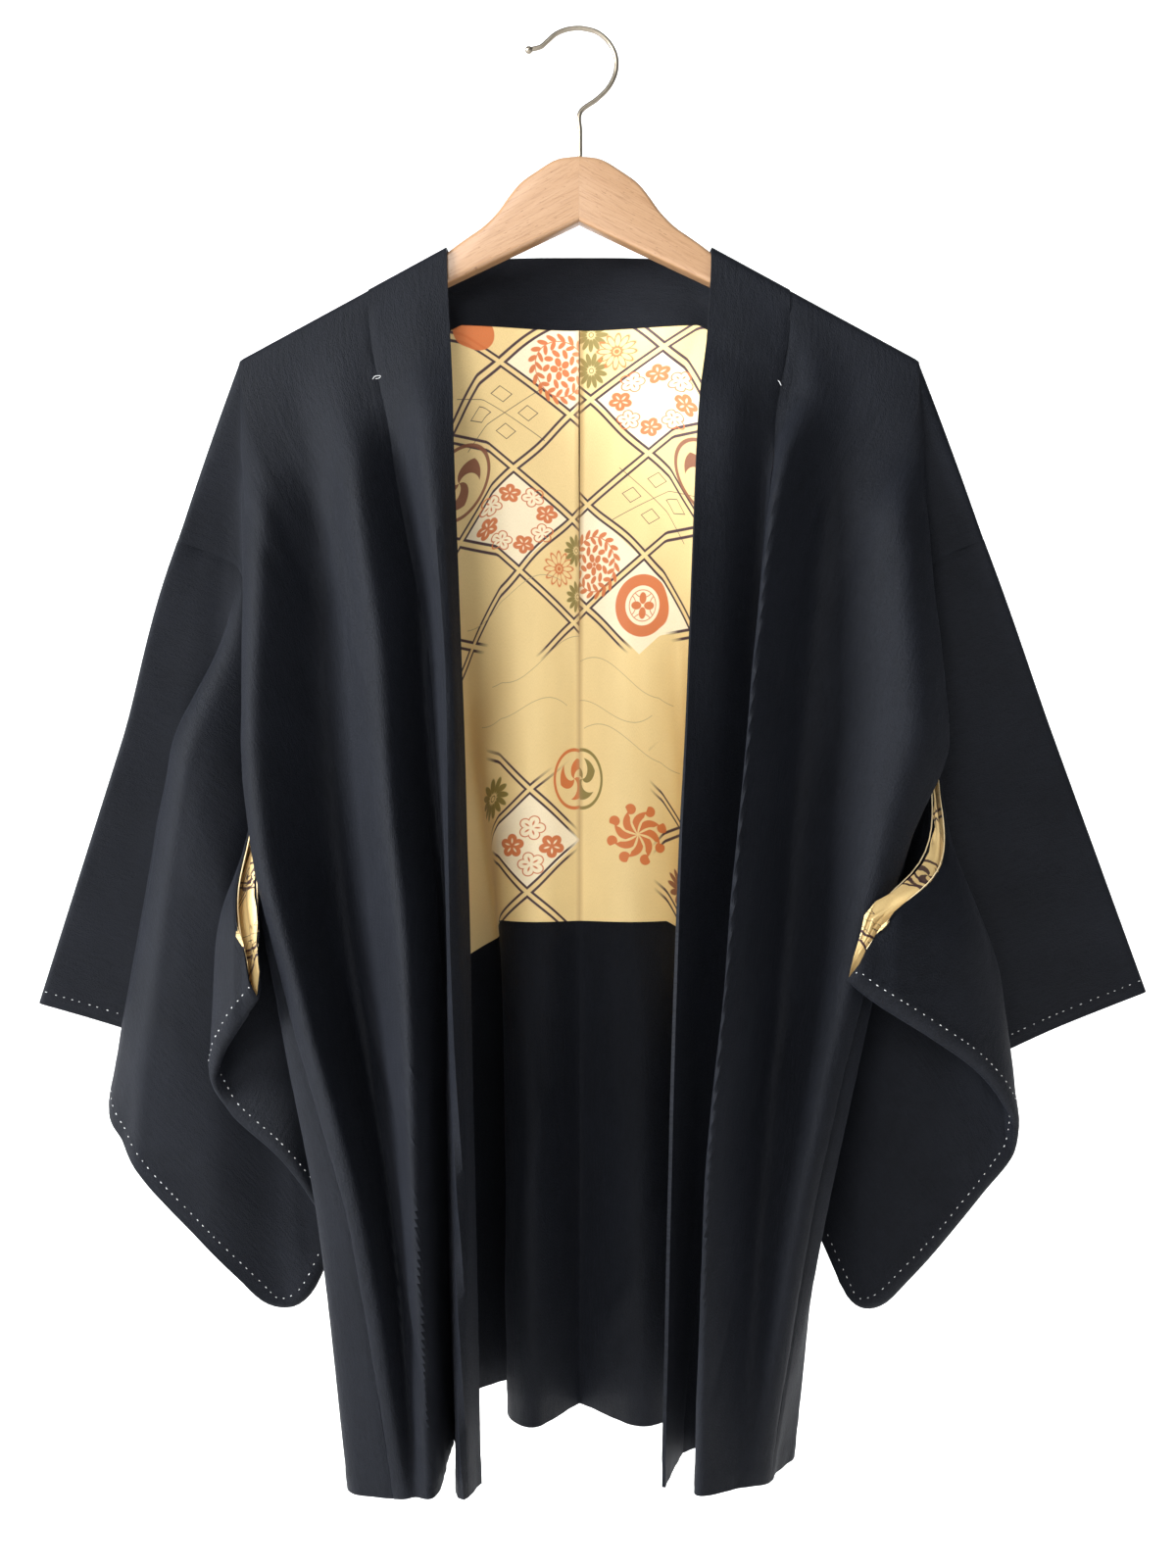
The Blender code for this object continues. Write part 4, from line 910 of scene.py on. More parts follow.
class Field:
    """A number worked out at each point of a surface by Math nodes."""

    def __init__(self, tree, socket):
        self.tree = tree
        self.socket = socket

    def node(self, operation, *others, clamp=False):
        made = self.tree.nodes.new("ShaderNodeMath")
        made.operation = operation
        made.use_clamp = clamp
        for slot, value in zip(made.inputs, (self, *others)):
            if isinstance(value, Field):
                self.tree.links.new(value.socket, slot)
            else:
                slot.default_value = value
        return Field(self.tree, made.outputs[0])

    __add__ = maths("ADD")
    __sub__ = maths("SUBTRACT")
    __mul__ = maths("MULTIPLY")
    __rmul__ = __mul__
    __truediv__ = maths("DIVIDE")
    abs = maths("ABSOLUTE")
    sin = maths("SINE")
    floor = maths("FLOOR")
    least = maths("MINIMUM")
    most = maths("MAXIMUM")

    def __rsub__(self, other):
        return self * -1.0 + other

    def __neg__(self):
        return self * -1.0

    def wrap(self, high):
        """The rest after whole steps of high, from 0 to high."""
        return self.node("WRAP", high, 0.0)

    def clamped(self):
        """The number kept between 0 and 1."""
        return self.node("ADD", 0.0, clamp=True)

    def ink(self, soft=0.00022):
        """1 where a distance is inside a shape (above 0), 0 outside."""
        return (self * (0.5 / soft)).node("ADD", 0.5, clamp=True)


def length(x, y):
    return (x * x + y * y).node("SQRT")


def heading(x, y):
    return y.node("ARCTAN2", x)


def turned(x, y, degrees):
    """The same place on axes turned by an angle."""
    c, s = math.cos(math.radians(degrees)), math.sin(math.radians(degrees))
    return x * c + y * s, y * c - x * s


def sectors(x, y, count, turn=0.0):
    """The nearest of a ring's equal sectors: its own axes and its number."""
    share = heading(x, y) * (count / (2 * math.pi)) + (0.5 + turn)
    number = share.floor()
    angle = (share - number - 0.5) * (2 * math.pi / count)
    reach = length(x, y)
    return reach * angle.node("COSINE"), reach * angle.sin(), number


def leaf(x, y, long, wide):
    """Distance inside an oval, roughly."""
    return -(length(x / long, y / wide) - 1.0) * wide


def outline(distance, line):
    """Distance into a line drawn along a shape's edge."""
    return -distance.abs() + line / 2


def blossom(x, y, size, open_flower):
    """Five round petals; an open one is drawn as a line with stamens."""
    px, py, _ = sectors(x, y, 5, 0.25)
    petal = leaf(px - size * 0.58, py, size * 0.42, size * 0.40)
    whole = petal.most(size * 0.45 - length(x, y))
    stamen = leaf(px - size * 0.42, py, size * 0.20, size * 0.07)
    if open_flower:
        return outline(whole, 0.0007).most(stamen)
    return whole.least(-stamen)


def mum(x, y, size, solid_petals):
    """Twelve narrow petals round a small heart."""
    px, py, _ = sectors(x, y, 12)
    petal = leaf(px - size * 0.62, py, size * 0.38, size * 0.15)
    heart = size * 0.13 - length(x, y)
    if solid_petals:
        return petal.most(outline(heart, 0.0007))
    return outline(petal, 0.0006).most(heart)


# leaves of the wreath: how many, and place, long, wide as shares of its radius
Leaves = namedtuple("Leaves", "count place long wide lean turn")
WREATH = [Leaves(19, 0.89, 0.16, 0.070, 48, 0.0), Leaves(16, 0.68, 0.15, 0.066, -42, 0.3),
          Leaves(10, 0.45, 0.14, 0.078, 40, 0.1), Leaves(5, 0.20, 0.13, 0.100, 0, 0.0)]


def wreath(x, y, size):
    """Leaves in rings round a sprig."""
    reach = length(x, y)
    total = outline(reach - size * 0.79, 0.0007).most(size * 0.06 - reach)
    for ring in WREATH:
        px, py, _ = sectors(x, y, ring.count, ring.turn)
        px, py = turned(px - size * ring.place, py, ring.lean)
        total = total.most(leaf(px, py, size * ring.long, size * ring.wide))
    return total


def plum_ring(x, y, size, count, petals, open_flower):
    """Every other one of a ring's blossoms; petals is their size by the ring's."""
    px, py, number = sectors(x, y, count)
    flower = blossom(px - size, py, size * petals, open_flower)
    odd = number.wrap(2.0) - 0.5
    return flower.least((odd if open_flower else -odd) * 0.01)


def squares(x, y, size):
    """Four small square outlines between two bowed lines."""
    ax, ay = x.abs(), (y * 1.35).abs()
    far, near = ax.most(ay) - size, ax.least(ay)
    square = size * 0.42 - far.abs() - near
    bow = y * y * 4.0
    lines = outline(x * 0.62 - y + bow, 0.0005).most(outline(x * 0.62 + y - bow, 0.0005))
    return outline(square, 0.0008).most(lines.least(size * 2.0 - length(x, y)))


def swirl(x, y, size):
    """Three curling arms in a ring."""
    reach = length(x, y)
    rim = outline(reach - size, 0.0022)
    arms = (heading(x, y) * 3.0 + reach / size * 6.0).sin() * 0.004
    return rim.most(arms.least(size * 0.72 - reach))


def roundel(x, y, size):
    """A broad ring round a four-petalled flower in crossing arcs."""
    reach = length(x, y)
    rim = outline(reach - size * 0.82, size * 0.36)
    px, py, _ = sectors(x, y, 4)
    petal = leaf(px - size * 0.24, py, size * 0.19, size * 0.13)
    arc = outline(length(px - size * 0.66, py) - size * 0.40, 0.0006)
    arc = arc.least(size * 0.50 - reach)
    return rim.most(outline(reach - size * 0.50, 0.0006)).most(petal).most(arc)


def pinwheel(x, y, size):
    """Eight arms that curl outwards from the middle."""
    px, py, _ = sectors(x, y, 8)
    ax, ay = turned(px - size * 0.46, py, 34)
    arm = leaf(ax, ay - ax * ax * 1.2 / size, size * 0.44, size * 0.115)
    tip = size * 0.17 - length(px - size * 0.80, py + size * 0.20)
    return arm.most(tip)


def waves(x, y, size):
    """One long thin line that rises and falls."""
    bend = (x / size * 2.4).sin() * (size * 0.22)
    return outline(y - bend, 0.0004).least(size - x.abs())


def disc(x, y, size):
    return size - length(x, y)


def lozenge(x, y, size):
    return size - x.abs() * (LATTICE_HIGH / LATTICE_WIDE) - y.abs()


LATTICE_WIDE, LATTICE_HIGH = 0.109, 0.0668     # a lozenge of the print
LATTICE_LINE, LATTICE_SPACE = 0.0017, 0.0045   # two lines and the way between
UPPER_END, LOWER_START = 0.243, 0.322          # v where the upper lattice ends, the lower starts
PRINT_FADE = 0.006                             # width over which a printed line fades
LOZENGE_INK, MOTIF_INK = 0.92, 0.95            # how fully the print covers the silk
# the colours of the print and of the silk under it, and of the painted seam shade, as linear RGB
CREAM, ORANGE, OLIVE = (.93, .80, .56), (.60, .135, .022), (.20, .15, .022)
PLUM, BROWN, GREY = (.038, .010, .022), (.22, .060, .025), (.36, .26, .14)
GOLD, GOLD_SHADE, WEFT = (.86, .64, .29), (.74, .54, .24), (.34, .22, .09)
# painted shade: brown laid over the lining along its centre seam, where it folds into a valley
SEAM_SHADOW_BROWN = (.34, .19, .06)
SHAPES = {
    "lozenge": lozenge, "squares": squares, "swirl": swirl, "roundel": roundel,
    "pinwheel": pinwheel, "waves": waves, "disc": disc, "wreath": wreath,
    "mum": lambda x, y, size: mum(x, y, size, True),
    "open mum": lambda x, y, size: mum(x, y, size, False),
    "plums": lambda x, y, size: plum_ring(x, y, size, 8, 0.37, False),
    "open plums": lambda x, y, size: plum_ring(x, y, size, 8, 0.37, True),
    "four": lambda x, y, size: plum_ring(x, y, size, 4, 0.66, False),
    "open four": lambda x, y, size: plum_ring(x, y, size, 4, 0.66, True),
}
# across: from the centre seam; down: from the shoulder fold; wide: stretch
# across; lean in degrees
Motif = namedtuple("Motif", "shape across down size wide lean colour")
# across, down: a crossing of the lattice; low_: the same of its lower piece
Print = namedtuple("Print", "across down low_across low_down low_reach motifs")
PRINTS = {
    "right": Print(.0615, .0645, .0504, .3404, .043, [
        Motif("disc", .075, .046, .0120, 1.2, 0, ORANGE),
        Motif("lozenge", .0070, .0645, .0310, 1.0, 0, CREAM),
        Motif("wreath", .0150, .0680, .0225, 1.1, 0, ORANGE),
        Motif("squares", .0660, .0960, .0160, 1.3, 0, PLUM),
        Motif("lozenge", .0615, .1645, .0310, 1.0, 0, CREAM),
        Motif("plums", .0610, .1645, .0168, 1.75, 10, ORANGE),
        Motif("open plums", .0610, .1645, .0168, 1.75, 10, ORANGE),
        Motif("swirl", .1110, .1290, .0210, 1.3, 0, BROWN),
        Motif("open mum", .0215, .1970, .0112, 1.3, 0, ORANGE),
        Motif("mum", .0030, .1850, .0105, 1.2, 0, OLIVE),
        Motif("mum", .0015, .2150, .0105, 1.2, 15, OLIVE),
        Motif("waves", .0700, .2120, .0500, 1.0, 0, GREY),
        Motif("waves", .0400, .2560, .0550, 1.0, 5, GREY),
        Motif("waves", .0600, .2880, .0450, 1.0, -6, GREY),
        Motif("swirl", .0060, .3340, .0190, 1.1, 40, ORANGE),
        Motif("lozenge", .0504, .3738, .0310, 1.0, 0, CREAM),
        Motif("four", .0475, .3775, .0118, 1.6, 0, ORANGE),
        Motif("open four", .0475, .3775, .0118, 1.6, 0, ORANGE),
        Motif("mum", .0900, .3440, .0130, 1.4, 0, OLIVE),
    ]),
    "left": Print(.0625, .0550, .1060, .3580, .030, [
        Motif("mum", .0085, .0460, .0112, 1.1, 0, OLIVE),
        Motif("mum", .0095, .0690, .0116, 1.1, 12, OLIVE),
        Motif("open mum", .0280, .0570, .0112, 1.3, 0, ORANGE),
        Motif("lozenge", .0625, .0884, .0310, 1.0, 0, CREAM),
        Motif("plums", .0625, .0884, .0168, 1.65, 0, ORANGE),
        Motif("open plums", .0625, .0884, .0168, 1.65, 0, ORANGE),
        Motif("squares", .0690, .1512, .0160, 1.3, 8, PLUM),
        Motif("swirl", .1140, .1240, .0210, 1.3, 0, BROWN),
        Motif("lozenge", .0070, .1880, .0310, 1.0, 0, CREAM),
        Motif("wreath", .0150, .1940, .0225, 1.1, 25, ORANGE),
        Motif("lozenge", .0625, .2220, .0310, 1.0, 0, CREAM),
        Motif("roundel", .0635, .2210, .0205, 1.3, 0, ORANGE),
        Motif("waves", .0500, .2680, .0500, 1.0, 4, GREY),
        Motif("waves", .0300, .2900, .0450, 1.0, -5, GREY),
        Motif("waves", .0550, .3110, .0500, 1.0, 3, GREY),
        Motif("swirl", .0030, .3340, .0190, 1.1, 0, OLIVE),
        Motif("pinwheel", .0570, .3700, .0205, 1.45, 0, ORANGE),
        Motif("mum", .1020, .4000, .0130, 1.3, 0, BROWN),
    ]),
}
SLEEVE_CROSS = (0.118, 0.262)      # a, v of a crossing of the sleeve lining's lattice
SLEEVE_MOTIFS = [
    Motif("swirl", .118, .318, .0130, 1.1, 0, PLUM),
    Motif("squares", .112, .385, .0150, 1.0, 0, PLUM),
]


@lru_cache(maxsize=None)
def shape_group(name):
    """A node group that turns a place near a motif into its ink, 0 to 1."""
    tree = bpy.data.node_groups.new(name, "ShaderNodeTree")
    for socket in ("across", "down", "size"):
        tree.interface.new_socket(socket, in_out="INPUT", socket_type="NodeSocketFloat")
    tree.interface.new_socket("ink", in_out="OUTPUT", socket_type="NodeSocketFloat")
    given = tree.nodes.new("NodeGroupInput")
    x, y, size = [Field(tree, given.outputs[i]) for i in range(3)]
    result = tree.nodes.new("NodeGroupOutput")
    tree.links.new(SHAPES[name](x, y, size).ink().socket, result.inputs[0])
    return tree


def drawn(tree, motif, x, y):
    """The ink of one motif of the print."""
    px, py = turned((x - motif.across) * (1 / motif.wide), y - motif.down, motif.lean)
    made = tree.nodes.new("ShaderNodeGroup")
    made.node_tree = shape_group(motif.shape)
    tree.links.new(px.socket, made.inputs[0])
    tree.links.new(py.socket, made.inputs[1])
    made.inputs[2].default_value = motif.size
    return Field(tree, made.outputs[0])


def shader(name, settings):
    """A new material with its node tree and Principled shader."""
    material = bpy.data.materials.new(name)
    material.use_nodes = True
    made = material.node_tree.nodes["Principled BSDF"]
    for socket, value in settings.items():
        made.inputs[socket].default_value = value
    return material, material.node_tree, made


def axes(tree, socket):
    """A place's own x, y and z."""
    parts = tree.nodes.new("ShaderNodeSeparateXYZ")
    tree.links.new(socket, parts.inputs[0])
    return [Field(tree, parts.outputs[axis]) for axis in "XYZ"]


def cut_axes(tree):
    """The two axes of the flat cut, in metres."""
    source = tree.nodes.new("ShaderNodeUVMap")
    source.uv_map = "cut"
    return axes(tree, source.outputs["UV"])[:2]


def object_axes(tree):
    return axes(tree, tree.nodes.new("ShaderNodeTexCoord").outputs["Object"])


def noise(tree, x, y, detail=2.0, roughness=0.5):
    """Noise over two axes that are already scaled to its grain."""
    place = tree.nodes.new("ShaderNodeCombineXYZ")
    tree.links.new(x.socket, place.inputs[0])
    tree.links.new(y.socket, place.inputs[1])
    made = tree.nodes.new("ShaderNodeTexNoise")
    made.inputs["Scale"].default_value = 1.0
    made.inputs["Detail"].default_value = detail
    made.inputs["Roughness"].default_value = roughness
    tree.links.new(place.outputs[0], made.inputs["Vector"])
    return Field(tree, made.outputs["Fac"])


def mixed(tree, share, one, two):
    """A mix of two colours, each a socket or a linear RGB."""
    made = tree.nodes.new("ShaderNodeMix")
    made.data_type = "RGBA"
    tree.links.new(share.socket, made.inputs["Factor"])
    for slot, colour in (("A", one), ("B", two)):
        target = next(s for s in made.inputs if s.name == slot and s.type == "RGBA")
        if isinstance(colour, tuple):
            target.default_value = (*colour, 1.0)
        else:
            tree.links.new(colour, target)
    return next(s for s in made.outputs if s.type == "RGBA")


def finish(tree, made, colour, height, distance):
    """Gives a Principled shader its colour and a fine relief."""
    tree.links.new(colour, made.inputs["Base Color"])
    relief = tree.nodes.new("ShaderNodeBump")
    relief.inputs["Distance"].default_value = distance
    tree.links.new(height.socket, relief.inputs["Height"])
    tree.links.new(relief.outputs[0], made.inputs["Normal"])


def crepe():
    """Black silk crepe: upright pebbly grain, a blue-grey bloom on the turns."""
    material, tree, made = shader("black_silk_crepe", {
        "Roughness": 0.62, "Sheen Weight": 0.040, "Sheen Roughness": 0.30,
        "Sheen Tint": (.62, .66, .82, 1.0), "Specular IOR Level": 0.12})
    x, y = cut_axes(tree)
    grain = noise(tree, x * 1900.0, y * 620.0, 2.0, 0.6)
    weave = noise(tree, x * 420.0, y * 90.0, 2.0)
    patch = noise(tree, x * 22.0, y * 14.0, 2.0)
    share = (grain - 0.5) * 1.5 + (weave - 0.5) * 0.7 + (patch - 0.5) * 0.6 + 0.5
    colour = mixed(tree, share.clamped(), (.0012, .0017, .0030), (.0060, .0072, .0112))
    finish(tree, made, colour, grain + weave * 0.8, 0.00055)
    return material


def lattice(x, y, across, down):
    """Double lines that cross in lozenges, a little bowed as if by hand."""
    sway = (y * 61.0).sin() * 0.0010 + (x * 83.0 + y * 40.0).sin() * 0.0007
    cx = (x - across + sway) * (1 / LATTICE_WIDE)
    cy = (y - down - sway * 0.6) * (1 / LATTICE_HIGH)
    slant = LATTICE_WIDE * LATTICE_HIGH / math.hypot(LATTICE_WIDE, LATTICE_HIGH)
    apart = []
    for diagonal in (cx + cy, cx - cy):
        middle = (diagonal + 0.5).wrap(1.0) - 0.5
        apart.append(middle.abs() * slant)
    return outline(apart[0].least(apart[1]) - LATTICE_SPACE / 2, LATTICE_LINE)


SILK = {"Roughness": 0.55, "Sheen Weight": 0.15, "Sheen Roughness": 0.4}


def stamped(tree, colour, motifs, ink, x, y):
    """The colour with motifs printed on it."""
    for motif in motifs:
        colour = mixed(tree, drawn(tree, motif, x, y) * ink, colour, motif.colour)
    return colour


def printed(side):
    """The back's lining: a lattice with flowers, broken off in the middle, with painted shade
    along the centre seam.
    """
    layout = PRINTS[side]
    material, tree, made = shader("printed_lining_" + side, SILK)
    x, y = cut_axes(tree)
    x = x + HALF_BACK
    colour = gold_silk(tree, x, y)
    grounds = [motif for motif in layout.motifs if motif.shape == "lozenge"]
    flowers = [motif for motif in layout.motifs if motif.shape != "lozenge"]
    colour = stamped(tree, colour, grounds, LOZENGE_INK, x, y)
    upper = -(y - (x * 55.0).sin() * 0.012 - UPPER_END)
    low = (y - (x * 48.0).sin() * 0.010 - LOWER_START)
    low = low.least(-(x - layout.low_across).abs() + layout.low_reach)
    lines = lattice(x, y, layout.across, layout.down).ink() * upper.ink(PRINT_FADE)
    lines = lines.most(lattice(x, y, layout.low_across, layout.low_down).ink()
                       * low.ink(PRINT_FADE))
    colour = mixed(tree, lines, colour, PLUM)
    colour = stamped(tree, colour, flowers, MOTIF_INK, x, y)
    # painted shade: the lining darkens to brown towards the centre seam
    painted_seam_shade = (-x * (1 / 0.005)).node("ADD", 1.0, clamp=True) * 0.6
    colour = mixed(tree, painted_seam_shade, colour, SEAM_SHADOW_BROWN)
    woven(tree, made, colour, x, y)
    return material


def gold_silk(tree, x, y):
    """The ground of the lining, lighter and darker by turns."""
    return mixed(tree, noise(tree, x * 30.0, y * 12.0, 3.0), GOLD_SHADE, GOLD)


def woven(tree, made, colour, x, y):
    """Puts the lining's weave over its print."""
    weave = noise(tree, x * 3000.0, y * 700.0, 1.0)
    share = ((weave - 0.5) * 0.4).node("ADD", 0.05, clamp=True)
    finish(tree, made, mixed(tree, share, colour, WEFT), weave, 0.0002)


def sleeve_silk():
    """The sleeves' lining, printed like the back's."""
    material, tree, made = shader("printed_lining_sleeve", {**SILK, "Roughness": 0.5})
    x, y = cut_axes(tree)
    colour = mixed(tree, lattice(x, y, *SLEEVE_CROSS).ink(), gold_silk(tree, x, y), PLUM)
    colour = stamped(tree, colour, SLEEVE_MOTIFS, MOTIF_INK, x, y)
    woven(tree, made, colour, x, y)
    return material


def cream_silk():
    """Cream silk of the narrow edges, with a fine rib."""
    material, tree, made = shader("cream_silk", {"Roughness": 0.5, "Sheen Weight": 0.15})
    x, y, z = object_axes(tree)
    patch = noise(tree, (x + y) * 60.0, z * 20.0, 3.0)
    colour = mixed(tree, patch, (.78, .58, .29), (.93, .78, .50))
    rib = noise(tree, (x + y) * 2400.0, z * 600.0, 1.0)
    finish(tree, made, colour, rib, 0.0002)
    return material


def beech(side):
    """Lacquered beech with its grain along the arm and short dark flecks."""
    material, tree, made = shader("beech_" + side, {
        "Roughness": 0.38, "Coat Weight": 0.25, "Coat Roughness": 0.25})
    x, y, z = object_axes(tree)
    lean = math.degrees(SLOPE) if side == "right" else -math.degrees(SLOPE)
    run, rise = turned(x, z, lean)
    bands = noise(tree, run * 9.0, (rise + y * 0.6) * 150.0, 3.0, 0.6)
    fibre = noise(tree, run * 60.0, (rise + y) * 900.0, 2.0, 0.6)
    fleck = noise(tree, run * 260.0, (rise + y * 0.7) * 1500.0, 1.0)
    colour = mixed(tree, bands, (.270, .145, .067), (.360, .218, .120))
    colour = mixed(tree, (fibre - 0.5).node("MULTIPLY", 2.4, clamp=True), colour,
                   (.190, .090, .040))
    specks = ((fleck - 0.66) * 9.0).clamped()
    colour = mixed(tree, specks * 0.75, colour, (.120, .048, .019))
    finish(tree, made, colour, fibre - specks * 0.5, 0.00012)
    return material


def steel():
    """Bright wire, drawn along its length, a little worn."""
    material, tree, made = shader("bright_wire", {"Metallic": 1.0})
    x, y, z = object_axes(tree)
    wear = noise(tree, (x + y) * 900.0, z * 300.0, 3.0)
    colour = mixed(tree, wear, (.17, .145, .11), (.34, .30, .24))
    tree.links.new(colour, made.inputs["Base Color"])
    tree.links.new((wear * 0.25 + 0.24).socket, made.inputs["Roughness"])
    return material


def thread():
    """White cotton thread with its twist."""
    material, tree, made = shader("white_thread", {"Roughness": 0.8})
    x, y, z = object_axes(tree)
    twist = ((x + z * 0.7 + y) * 9000.0).sin() * 0.5 + 0.5
    colour = mixed(tree, twist, (.55, .56, .58), (.88, .88, .86))
    finish(tree, made, colour, twist, 0.0001)
    return material


def paper():
    """Plain pale studio paper, lit a little from within."""
    material, tree, made = shader("studio_paper", {
        "Roughness": 0.9, "Emission Color": (1.0, 1.0, 1.0, 1.0), "Emission Strength": 0.55})
    x, y, z = object_axes(tree)
    fibre = noise(tree, x * 40.0, (y + z) * 40.0, 2.0)
    colour = mixed(tree, fibre, (.86, .86, .86), (.90, .90, .90))
    tree.links.new(colour, made.inputs["Base Color"])
    return material


def body(side, black, gold):
    """Front and back panel in one length over the shoulder; lined above the hem's turn."""
    sheet = joined((side, body_patch(side, -1)), (side, body_patch(side, 1)))
    lined = np.array([sheet.cut[face[0], 1] < LINING_LENGTH for face in sheet.faces])
    piece = solid("body_cloth_" + side, sheet, SHELL, [black, black, gold, black],
                  np.where(lined, 0, 1).astype(np.int32))
    dressed(piece, "black_crepe", "front_" + side, "back_" + side)


def sleeve(side, black, lining):
    """Both layers of the sleeve, lined, joined along the fold and the sewn lower edge."""
    sheet = joined((side, sleeve_patch(side, -1)), (side, sleeve_patch(side, 1)))
    piece = solid("sleeve_cloth_" + side, sheet, SHELL, [black, lining])
    dressed(piece, "black_crepe", "sleeve_" + side, "sleeve_lining_" + side)


def gusset(side, black):
    """The long narrow wedge between front and back below the armhole."""
    patch = gusset_patch(side)
    piece = solid("gusset_cloth_" + side, joined((side, patch)), SHELL, [black, black])
    dressed(piece, "black_crepe", "gusset_" + side)


def collar(black):
    """The folded strip up one front, round the neck and down the other."""
    sheet = joined(("right", collar_patch("right")), ("left", collar_patch("left")))
    piece = solid("collar_cloth", sheet, COLLAR_SHELL, [black, black])
    dressed(piece, "black_crepe", "collar")


def back_lining(side, gold):
    """Lining of the back, made from the panel's points and moved inwards."""
    patch = body_patch(side, 1)
    rows = np.flatnonzero((ROWS > LINING_TOP) & (ROWS <= LINING_LENGTH + LINING_SLACK))
    columns = np.flatnonzero(patch.cut[-1, :, 0] < LINING_SIDE)
    points = moved(patch.points, np.full(patch.points.shape[:2], LINING_CLEAR), 1.0)
    lining = Patch(points[rows][:, columns], patch.cut[rows][:, columns])
    piece = solid("back_lining_cloth_" + side, joined((side, lining)), LINING_SHELL,
                  [gold, gold])
    dressed(piece, "printed_lining", "back_lining_" + side)


# ------------------------------------------------------------------ sewing
ODD_WAY = (0.31, 0.87, 0.38)       # no thread runs this way
TUBE_END = 0.55                    # thickness of a tube's ends, by its middle's


def tube_mesh(built, line, radius, sides=6):
    """A closed tube along a line of points, thinner at its ends."""
    line = np.asarray(line, float)
    way = unit(np.gradient(line, axis=0))
    side_way = unit(np.cross(way, ODD_WAY))
    up = np.cross(side_way, way)
    rings = []
    for i, point in enumerate(line):
        size = radius * (TUBE_END if i in (0, len(line) - 1) else 1.0)
        ring = []
        for k in range(sides):
            turn = 2 * math.pi * k / sides
            place = point + size * (math.cos(turn) * side_way[i] + math.sin(turn) * up[i])
            ring.append(built.verts.new(place.tolist()))
        rings.append(ring)
    for one, two in zip(rings, rings[1:]):
        for k in range(sides):
            built.faces.new((one[k], one[(k + 1) % sides], two[(k + 1) % sides], two[k]))
    built.faces.new(rings[0][::-1])
    built.faces.new(rings[-1])


def from_bmesh(name, built, material):
    """A smooth-shaded object of a finished bmesh."""
    bmesh.ops.recalc_face_normals(built, faces=built.faces)
    mesh = bpy.data.meshes.new(name)
    built.to_mesh(mesh)
    built.free()
    mesh.materials.append(material)
    mesh.shade_smooth()
    return placed(name, mesh)


STITCH_STEP, STITCH_LONG, STITCH_THICK = 0.0056, 0.0013, 0.00026
STITCH_INSET = 0.0088              # from the sleeve's edge
STITCH_ENDS = 0.006                # from the ends of the row of stitches
STITCH_LIFT = np.array([-0.9, 0.55, 0.55, -0.9])   # a stitch rises from the cloth and dips back
SCRAP_THICK, SCRAP_CLEAR = 0.00020, 0.0016
EDGE_THICK, EDGE_OUT = 0.00040, 0.0006


def stitch_line(side, face):
    """Places along the sleeve's cuff and lower edge, a little inside it."""
    patch = sleeve_patch(side, face)
    line, normal = [], []
    for cut, points, normals in zip(patch.cut, patch.points, grid_normals(patch.points)):
        run = lengths(cut)
        inside = np.interp(-STITCH_INSET, -edge_distance(*cut.T), run)
        line.append(read(inside, run, points))
        normal.append(read(inside, run, normals))
    return np.array(line), np.array(normal) * face


def basting(side, white):
    """Short white running stitches near the sleeve's edges, on both layers."""
    random = np.random.default_rng(5)
    built = bmesh.new()
    for face in (-1, 1):
        line, normal = stitch_line(side, face)
        run = lengths(line)
        place = STITCH_ENDS
        while place < run[-1] - STITCH_ENDS:
            long = STITCH_LONG * random.uniform(0.7, 1.35)
            spots = np.linspace(place - long / 2, place + long / 2, 4)
            lift = SHELL / 2 + STITCH_THICK * STITCH_LIFT
            points = read(spots, run, line) + read(spots, run, normal) * lift[:, None]
            tube_mesh(built, world(side, points), STITCH_THICK)
            place += STITCH_STEP * random.uniform(0.8, 1.25)
    dressed(from_bmesh("basting_" + side, built, white), "black_crepe")


def smoothed(line, rounds=4):
    """The same line with its small kinks averaged away, its ends kept."""
    line = line.copy()
    for _ in range(rounds):
        line[1:-1] = (line[:-2] + 2 * line[1:-1] + line[2:]) / 4
    return line


Scrap = namedtuple("Scrap", "name side x z path")
SCRAPS = [   # loose ends of white thread, as (across, up) steps in metres
    Scrap("thread_scrap_right", "right", -0.1262, -0.2218,
          ((-.0028, -.0012), (-.0016, .0006), (.0004, .0012), (.0022, .0010), (.0010, -.0004),
           (-.0010, -.0008))),
    Scrap("thread_scrap_left", "left", 0.1218, -0.2255,
          ((-.0042, -.0004), (-.0026, .0020), (.0002, .0028), (.0030, .0016), (.0046, -.0014))),
]


def scraps(white):
    """The scraps of thread left where the tacks were pulled."""
    for scrap in SCRAPS:
        near = world(scrap.side, body_patch(scrap.side, -1).points)
        path = []
        for across, up in scrap.path:
            x, z = scrap.x + across, scrap.z + up
            spot = near[np.argmin((near[:, 0] - x) ** 2 + (near[:, 2] - z) ** 2)]
            path.append((x, spot[1] - SCRAP_CLEAR, z))
        built = bmesh.new()
        tube_mesh(built, spline(path, 6), SCRAP_THICK)
        dressed(from_bmesh(scrap.name, built, white), "black_crepe")


def edging(side, cream):
    """Cream piping along the open edge below the arm, on both layers."""
    built = bmesh.new()
    for face in (-1, 1):
        patch = sleeve_patch(side, face)
        rows = np.flatnonzero((patch.cut[:, 0, 1] > ARMHOLE + 0.003) & (RAYS < FURI_LOW - 0.9))
        line = patch.points[rows, 0]
        inner = smoothed(unit(patch.points[rows, 1] - line))
        line = smoothed(line)
        out = unit(np.cross(inner, np.gradient(line, axis=0)))
        line = line - inner * EDGE_THICK / 2 + out * EDGE_OUT
        tube_mesh(built, world(side, line), EDGE_THICK, 8)
    dressed(from_bmesh("furi_edge_" + side, built, cream), "printed_lining")


